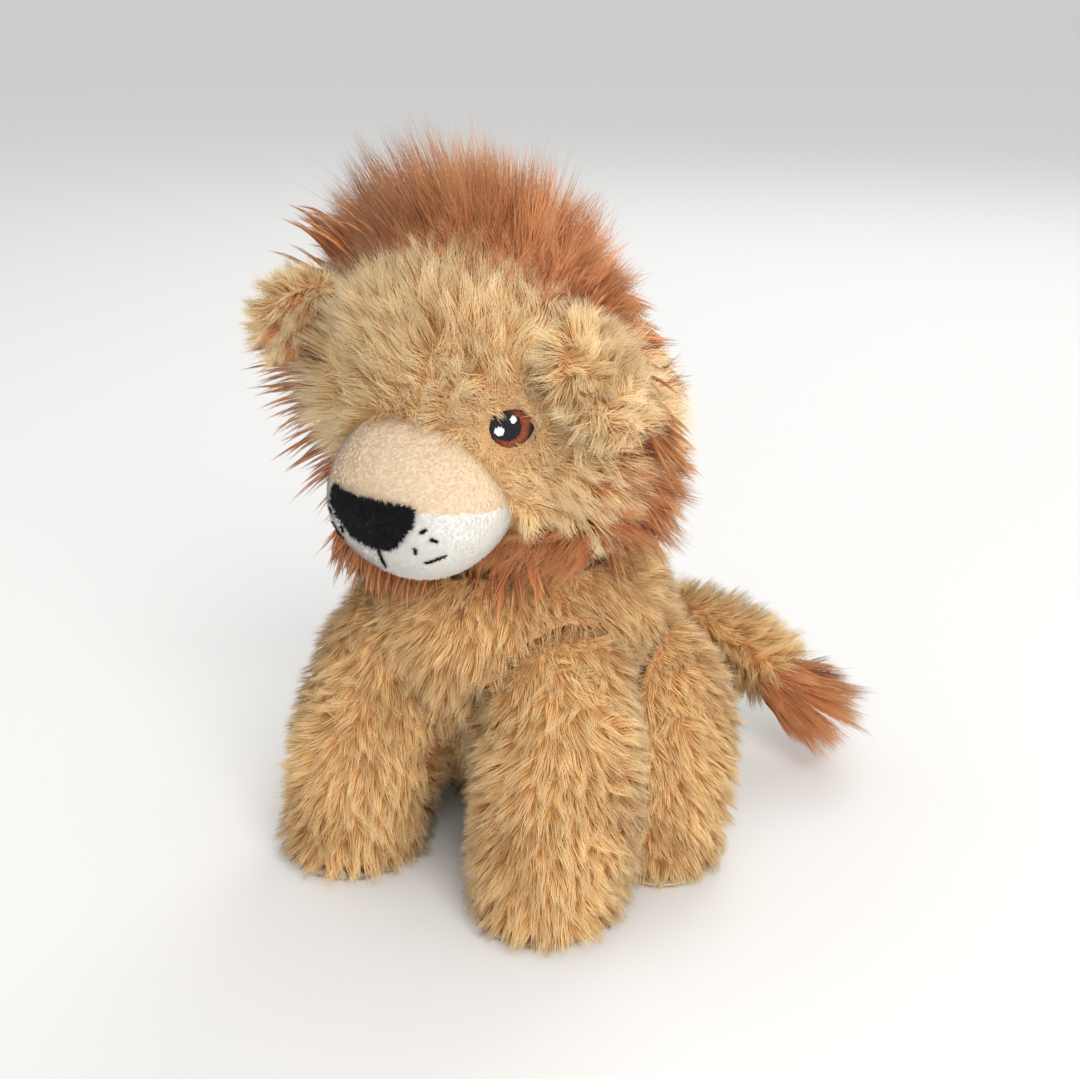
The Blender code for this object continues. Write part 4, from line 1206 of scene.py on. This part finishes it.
class PLUSHLION_OT_ears(Operator):
    """Makes both folded ears: tan pile behind and a rust lining inside"""

    bl_idname = "plushlion.ears"
    bl_label = "Ears"

    def execute(self, context):
        settings = context.scene.plush_lion
        colours = settings.colours
        rust = ground_finish("rust_ground", tuple(colours.mane_middle), tuple(colours.mane_root))
        head = np.array(HEAD.translation)
        for side in SIDES:
            outer, lining = EAR_NODES[side]
            for node, other, finish, slot, ground, length, share, lean in (
                (outer, lining, head_pile(colours), "tan_fur", tan_ground(colours), settings.pile.ear, 3.2, 0.36),
                (lining, outer, mane_pile(colours), "rust_fur", rust, 0.0070, 1.9, 0.45),
            ):
                mesh = cloth_under_pile(node + "_cloth", (node,), (), 0.0006, voxel=0.0009, rounds=2, floor=0)
                cloth = object_of(node + "_cloth", mesh)
                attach(cloth, f"ear_{side}")
                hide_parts(node)
                dress(cloth, ground)
                # tone 0.60 is painted light: paler hair that lifts the shade on the ears
                coat(
                    settings, node + "_pile", cloth, f"ear_{side}", (), lambda roots, facings: roots - head, length,
                    hairs_for(settings, cloth, share), 41, finish, slot=slot, lean=lean, bend=0.12, tuft=34,
                    gather=0.45, wander=0.5, tone=0.60, ripple=0.0012,
                    glow=lambda roots, facings: unit(roots - head) * 0.6 + facings * 0.3 + (0.35, -0.6, 0.5),
                    keep=lambda roots, facings: gaps(roots, (other,)) > 0.0005,
                )  # fmt: skip
        return {"FINISHED"}


def mane_bundle(settings, name, node, count, seed, heart, forward=0.0, lowest=-1.0, squash=0.65, extra=0.0, **style):
    """Long hair that grows where the node touches the head, and fans away from the heart to fill the node."""
    roots = roots_over(node, count * 6, seed)[0]
    touching = gaps(roots, ("face_cover", "head_back_cover")) < MANE_TOUCH
    touching &= to_head(roots)[:, 2] > lowest
    rng = np.random.default_rng(seed)
    chosen = rng.permutation(np.flatnonzero(touching))[:count]
    roots = roots[chosen]
    inner = to_head(roots) - np.array(heart)
    inner[:, 1] *= squash
    inner[:, 1] -= forward
    ways = unit(way_from_head(unit(inner)) + rng.normal(size=(len(inner), 3)) * 0.06)
    reach = reaches(roots + ways * 0.0006, ways, (node,), MANE_FAR)
    more = extra(to_head(roots)) if callable(extra) else extra
    length = np.clip(reach, *MANE_REACH) * rng.uniform(0.86, 1.08, len(roots)) + MANE_PROUD + more
    roots = roots - ways * MANE_SINK
    style = {"lean": 0.0, "bend": 0.12, "levels": 3, **style}
    sideways = unit(np.cross(ways, rng.normal(size=ways.shape)))
    piece = pile(name, roots, ways, sideways, length, settings.mane.hair, seed=seed, **style)
    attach(piece, "head")
    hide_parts(node)
    dress(piece, mane_pile(settings.colours))
    return piece


def beside_face(angle, out, back):
    """A point round the face in the head's frame: the angle runs from the top down to the lion's left."""
    across, up = FACE_HALF_WIDTH + out, FACE_HALF_HEIGHT + out
    return np.array((math.sin(angle) * across, back, math.cos(angle) * up))


class PLUSHLION_OT_mane(Operator):
    """Makes the mane: the crest over the forehead, the locks at the cheeks and the ruff under the chin"""

    bl_idname = "plushlion.mane"
    bl_label = "Mane"

    def execute(self, context):
        settings = context.scene.plush_lion
        mane = settings.mane
        style = {"tuft": 18, "gather": 0.55, "wander": 0.3, "ripple": 0.0007, "streak": 0.28}
        heart = (0, 0.004, 0.004)

        def shoulder(places):
            """The crest stands fuller on the lion's right, and a little lower in the middle."""
            side = ease(-places[:, 0], 0.006, 0.022)
            return 0.0045 * side - 0.0015 * (1 - side) * ease(0.012 - abs(places[:, 0]), 0.0, 0.010)

        mane_bundle(
            settings, "crest", "mane_crest", mane.crest_count, 51, heart, lowest=0.021, levels=2, extra=shoulder,
            **style,
        )
        style.update(tuft=22, gather=0.75)
        mane_bundle(
            settings, "crest_waves", "mane_crest", int(mane.crest_count * 0.6), 59, heart, lowest=0.021,
            extra=shoulder, **{**style, "ripple": 0.0024, "gather": 0.85, "tuft": 34},
        )  # fmt: skip
        style.update(tuft=36, gather=0.8)
        for number, side in enumerate(SIDES):
            mane_bundle(
                settings, f"locks_{side}", f"mane_locks_{side}", mane.locks_count, 52 + number, (0, 0, -0.006),
                extra=-0.002, **style,
            )  # fmt: skip
        # tone 0.66 gives paler hair: partly the ruff's own paler colour, partly painted light that lifts the shade
        # under the head
        mane_bundle(
            settings, "ruff", "mane_ruff", mane.ruff_count, 54, (0, 0.005, 0.0), forward=0.3, squash=0.8,
            tone=0.66, **{**style, "tuft": 14, "gather": 0.45, "wander": 0.7, "ripple": 0.0014, "streak": 0.34},
        )
        rng = np.random.default_rng(55)
        for number, (side, sign) in enumerate(SIDES.items()):
            lines = []
            for degrees in np.arange(56, 150, 0.9):
                angle = math.radians(degrees + rng.normal() * 1.5) * sign
                ahead = -0.010 if sign < 0 else 0.0
                root = beside_face(angle, -0.002, rng.uniform(-0.002, 0.004) + ahead)
                reach = rng.uniform(0.015, 0.023) + 0.00006 * (degrees - 56) if sign < 0 else rng.uniform(0.012, 0.019)
                way = np.array((math.sin(angle), -0.42, math.cos(angle) * 0.7 - 0.18)) + rng.normal(size=3) * 0.10
                lines.append((root, root + unit(way) * reach, np.array((0, 0, rng.uniform(0.0006, 0.0024)))))
            self.add_locks(settings, f"cheek_locks_{side}", lines, 19, 0.0008, 56 + number, 0.60)
        lines = []
        for degrees, reach, lift in (
            (-28, 0.017, 4), (-36, 0.022, 4), (-42, 0.025, 4), (-47, 0.027, 5), (-53, 0.025, 4), (-59, 0.021, 3),
            (-65, 0.016, 2), (32, 0.016, 3), (42, 0.018, 2), (50, 0.017, 2),
        ):  # fmt: skip
            for _ in range(9):
                angle = math.radians(degrees + rng.normal() * 3.0)
                root = beside_face(angle, -0.001, rng.uniform(-0.001, 0.006))
                way = np.array((math.sin(angle), -0.20, math.cos(angle) * 1.0 + 0.1)) + rng.normal(size=3) * 0.09
                bow = np.array((0, 0, lift * rng.uniform(0.0006, 0.0011)))
                lines.append((root, root + unit(way) * reach * rng.uniform(0.75, 1.0), bow))
        self.add_locks(settings, "crest_locks", lines, 20, 0.0008, 58, 0.62)
        lines = []
        roots, facings = roots_over("mane_ruff", 1500, 61)
        low, high = (corner[2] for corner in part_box("mane_ruff"))
        hem = (facings[:, 1] < -0.05) & (facings[:, 2] < 0.35) & (roots[:, 2] < low + (high - low) * 0.55)
        for root, facing in list(zip(to_head(roots[hem]), facings[hem]))[:150]:
            way = facing * 0.40 + (0.05, -0.30, -0.75) + rng.normal(size=3) * 0.20
            bow = np.array((rng.normal() * 0.0006, -rng.uniform(0.0004, 0.0016), 0.0))
            lines.append((root, root + unit(way) * rng.uniform(0.011, 0.018), bow))
        # tone 0.80 gives paler hair: partly the ruff's own paler colour, partly painted light that lifts the shade
        # under the head
        self.add_locks(settings, "ruff_locks", lines, 11, 0.0008, 60, 0.80)
        lines = []
        for degrees in np.arange(136, 224, 0.9):
            angle = math.radians(degrees + rng.normal() * 2.0)
            root = np.array((math.sin(angle) * 0.034, rng.uniform(-0.026, -0.012), math.cos(angle) * 0.028))
            way = np.array((math.sin(angle) * 0.6, -0.62, -0.80)) + rng.normal(size=3) * 0.18
            bow = np.array((rng.normal() * 0.0008, -rng.uniform(0.0006, 0.0020), 0.0))
            lines.append((root, root + unit(way) * rng.uniform(0.012, 0.020), bow))
        # tone 0.82 gives paler hair: partly the ruff's own paler colour, partly painted light that lifts the shade
        # under the head
        self.add_locks(settings, "bib_locks", lines, 12, 0.0008, 62, 0.82)
        return {"FINISHED"}

    def add_locks(self, settings, name, lines, count, spread, seed, tone):
        """Pointed locks, given in the head's frame."""
        turn, middle = np.array(HEAD.to_3x3()).T, np.array(HEAD.translation)
        lines = [(root @ turn + middle, tip @ turn + middle, bow @ turn) for root, tip, bow in lines]
        piece = locks(name, lines, count, spread, settings.mane.hair * 0.9, seed, tone)
        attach(piece, "head")
        dress(piece, mane_pile(settings.colours))


class PLUSHLION_OT_front_legs(Operator):
    """Makes the front legs' cloth, pile and soles"""

    bl_idname = "plushlion.front_legs"
    bl_label = "Front legs"

    def execute(self, context):
        settings = context.scene.plush_lion
        for number, side in enumerate(SIDES):

            def flow(roots, facings):
                out = np.stack([roots[:, 0] - SHOULDER[side].x, roots[:, 1] * 0, np.full(len(roots), -0.02)], axis=1)
                return unit(out) + np.array((0, 0, -0.5))

            leg(
                settings, "front", "hind", FRONT_NODES[side], side, flow, settings.pile.front_leg, 61 + number,
                under=0.98, over=0.18, lean=0.54,
            )  # fmt: skip
        return {"FINISHED"}


def leg(settings, kind, beside_kind, nodes, side, flow, length, seed, **style):
    """One leg: its cloth, its pile and its sole."""
    body = f"{kind}_leg_{side}"
    beside = ["body_cover_left", "body_cover_right", f"{beside_kind}_leg_cover_{side}"]
    cloth = cover(settings, f"{kind}_leg_cloth_{side}", nodes, body, beside, puff=MOST_PUFF)
    finish = tan_pile(settings.colours)
    fur(settings, body, cloth, body, beside, flow, length, seed, finish, keep=off_the_floor, **style)
    sole_of(settings, f"{kind}_sole_{side}", body)


def off_the_floor(roots, facings):
    """Leaves out the flat of a foot."""
    return (roots[:, 2] > 0.0030) | (facings[:, 2] > -0.5)


def sole_of(settings, node, body):
    """A velour sole with a short nap, a little smaller than the foot above it."""
    colours = settings.colours
    shade = tuple(np.array(colours.sole) * 0.75)
    mesh = cloth_under_pile(node + "_cloth", (node,), (), 0.0005, voxel=0.0009, rounds=2, floor=0)
    points = points_of(mesh)
    points[:, 2] = np.maximum(points[:, 2], 0.0001)
    mesh.vertices.foreach_set("co", points.astype(np.float32).ravel())
    cloth = object_of(node + "_cloth", mesh)
    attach(cloth, body)
    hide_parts(node)
    dress(cloth, velour_finish("sole_velour", tuple(colours.sole), shade))
    tip = tuple(np.minimum(np.array(colours.sole) * 1.05, 1.0))
    finish = pile_finish("sole_nap", shade, tuple(colours.sole), tip, dark=(0.9, 0.88, 0.85), rough=0.9, sheen=0.1)
    middle = points.mean(0)
    coat(
        settings, node + "_nap", cloth, body, (), lambda roots, facings: roots - middle, 0.0010, 1200, 65, finish,
        slot="cream_velour", width=0.0002, lean=0.6, bend=0.0, tuft=3, gather=0.1, levels=1, ripple=0.00005,
        wander=0.1, streak=0.06, round_light=0.1,
    )  # fmt: skip


class PLUSHLION_OT_hind_legs(Operator):
    """Makes the haunches' cloth, pile and soles"""

    bl_idname = "plushlion.hind_legs"
    bl_label = "Hind legs"

    def execute(self, context):
        settings = context.scene.plush_lion

        def flow(roots, facings):
            return np.stack([roots[:, 0] * 0, roots[:, 1] * 8 + 0.1, np.full(len(roots), -1.0)], axis=1)

        for number, side in enumerate(SIDES):
            leg(
                settings, "hind", "front", HIND_NODES[side], side, flow, settings.pile.hind_leg, 71 + number,
                under=0.95, over=0.17, lean=0.50,
            )  # fmt: skip
        return {"FINISHED"}


class PLUSHLION_OT_tail(Operator):
    """Makes the tail's tube and its tuft"""

    bl_idname = "plushlion.tail"
    bl_label = "Tail"

    def execute(self, context):
        settings = context.scene.plush_lion
        nodes = ("tail_cover", "tail_stuffing")
        cloth = cover(settings, "tail_cloth", nodes, "tail", (), 0.7, depth=0.0016, voxel=0.0012, floor=0)
        tuft_middle = middle_of("tail_tuft")
        along = unit(tuft_middle - middle_of("tail_cover"))
        fur(
            settings, "tail", cloth, "tail", ("tail_root_stuffing",),
            lambda roots, facings: np.broadcast_to(along, roots.shape), settings.pile.tail, 81,
            tan_pile(settings.colours), under=1.3, over=0.42, lean=0.36,
        )  # fmt: skip
        roots, facings = roots_over("tail_tuft", settings.mane.tuft_count, 82)
        start = tuft_middle - along * 0.014 + (roots - tuft_middle) * 0.35
        length = np.linalg.norm(roots - start, axis=1) * 1.08 + 0.004
        ways = unit(roots - start)
        piece = pile(
            "tuft", start, ways, unit(np.cross(ways, facings) + 1e-6), length, settings.mane.hair,
            lean=0.0, bend=0.1, levels=3, tuft=46, gather=0.72, wander=0.2, ripple=0.0008, seed=83,
        )  # fmt: skip
        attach(piece, "tail")
        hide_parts("tail_tuft")
        dress(piece, mane_pile(settings.colours))
        return {"FINISHED"}


class PLUSHLION_OT_stage(Operator):
    """Makes the floor, the lamps and the camera"""

    bl_idname = "plushlion.stage"
    bl_label = "Stage"

    def execute(self, context):
        stage = context.scene.plush_lion.stage
        scene = context.scene
        shape = bmesh.new()
        bmesh.ops.create_circle(shape, cap_ends=True, segments=64, radius=30)
        floor = object_of("floor", mesh_of("floor", shape))
        floor.data.materials.append(Finish("floor").surface({"Base Color": (*stage.floor, 1), "Roughness": 0.9}))

        world = bpy.data.worlds.new("studio")
        scene.world = world
        world.use_nodes = True
        sky = world.node_tree.nodes["Background"]
        sky.inputs["Color"].default_value = (0.95, 0.97, 1.0, 1)
        sky.inputs["Strength"].default_value = 0.74

        target = Vector((0.005, -0.004, 0.078))
        for name, place, size, power in (
            ("key", (0.80, -0.72, 0.95), 0.8, 11.0),
            ("fill", (0.80, -0.65, 0.18), 0.8, 3.0),
            ("rim", (-0.1, 0.9, 0.9), 0.6, 3.5),
        ):
            lamp = bpy.data.lights.new(name, "AREA")
            lamp.size = size
            lamp.energy = power
            holder = bpy.data.objects.new(name, lamp)
            holder.location = place
            holder.rotation_euler = (target - Vector(place)).to_track_quat("-Z", "Y").to_euler()
            scene.collection.objects.link(holder)

        bearing, rise = stage.bearing, stage.rise
        back = Vector((math.sin(bearing) * math.cos(rise), -math.cos(bearing) * math.cos(rise), math.sin(rise)))
        lens = bpy.data.cameras.new("camera")
        lens.sensor_fit = "HORIZONTAL"
        lens.angle = stage.view
        lens.clip_start = 0.01
        camera = bpy.data.objects.new("camera", lens)
        camera.location = target + back * stage.distance
        camera.rotation_euler = (-back).to_track_quat("-Z", "Y").to_euler()
        scene.collection.objects.link(camera)
        scene.camera = camera
        scene.view_settings.view_transform = "Standard"
        return {"FINISHED"}


class PLUSHLION_PT_panel(Panel):
    """Lists the pieces in the order in which they are made"""

    bl_idname = "PLUSHLION_PT_panel"
    bl_label = "Plush Lion"
    bl_space_type = "VIEW_3D"
    bl_region_type = "UI"
    bl_category = "Plush Lion"

    def draw(self, context):
        for operator in OPERATORS:
            self.layout.operator(operator.bl_idname)
        settings = context.scene.plush_lion
        for group in (settings.pile, settings.mane, settings.colours, settings.stage):
            box = self.layout.box()
            for name in group.__annotations__:
                box.prop(group, name)


OPERATORS = (
    PLUSHLION_OT_torso,
    PLUSHLION_OT_head,
    PLUSHLION_OT_muzzle,
    PLUSHLION_OT_eyes,
    PLUSHLION_OT_ears,
    PLUSHLION_OT_mane,
    PLUSHLION_OT_front_legs,
    PLUSHLION_OT_hind_legs,
    PLUSHLION_OT_tail,
    PLUSHLION_OT_stage,
)
GROUPS = (PlushLionPile, PlushLionMane, PlushLionColours, PlushLionStage, PlushLionSettings)


def register():
    for kind in (*GROUPS, *OPERATORS, PLUSHLION_PT_panel):
        bpy.utils.register_class(kind)
    bpy.types.Scene.plush_lion = PointerProperty(type=PlushLionSettings)


def unregister():
    del bpy.types.Scene.plush_lion
    for kind in reversed((*GROUPS, *OPERATORS, PLUSHLION_PT_panel)):
        bpy.utils.unregister_class(kind)


def main():
    register()
    for operator in OPERATORS:
        group, name = operator.bl_idname.split(".")
        getattr(getattr(bpy.ops, group), name)()
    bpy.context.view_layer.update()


if __name__ == "__main__":
    main()
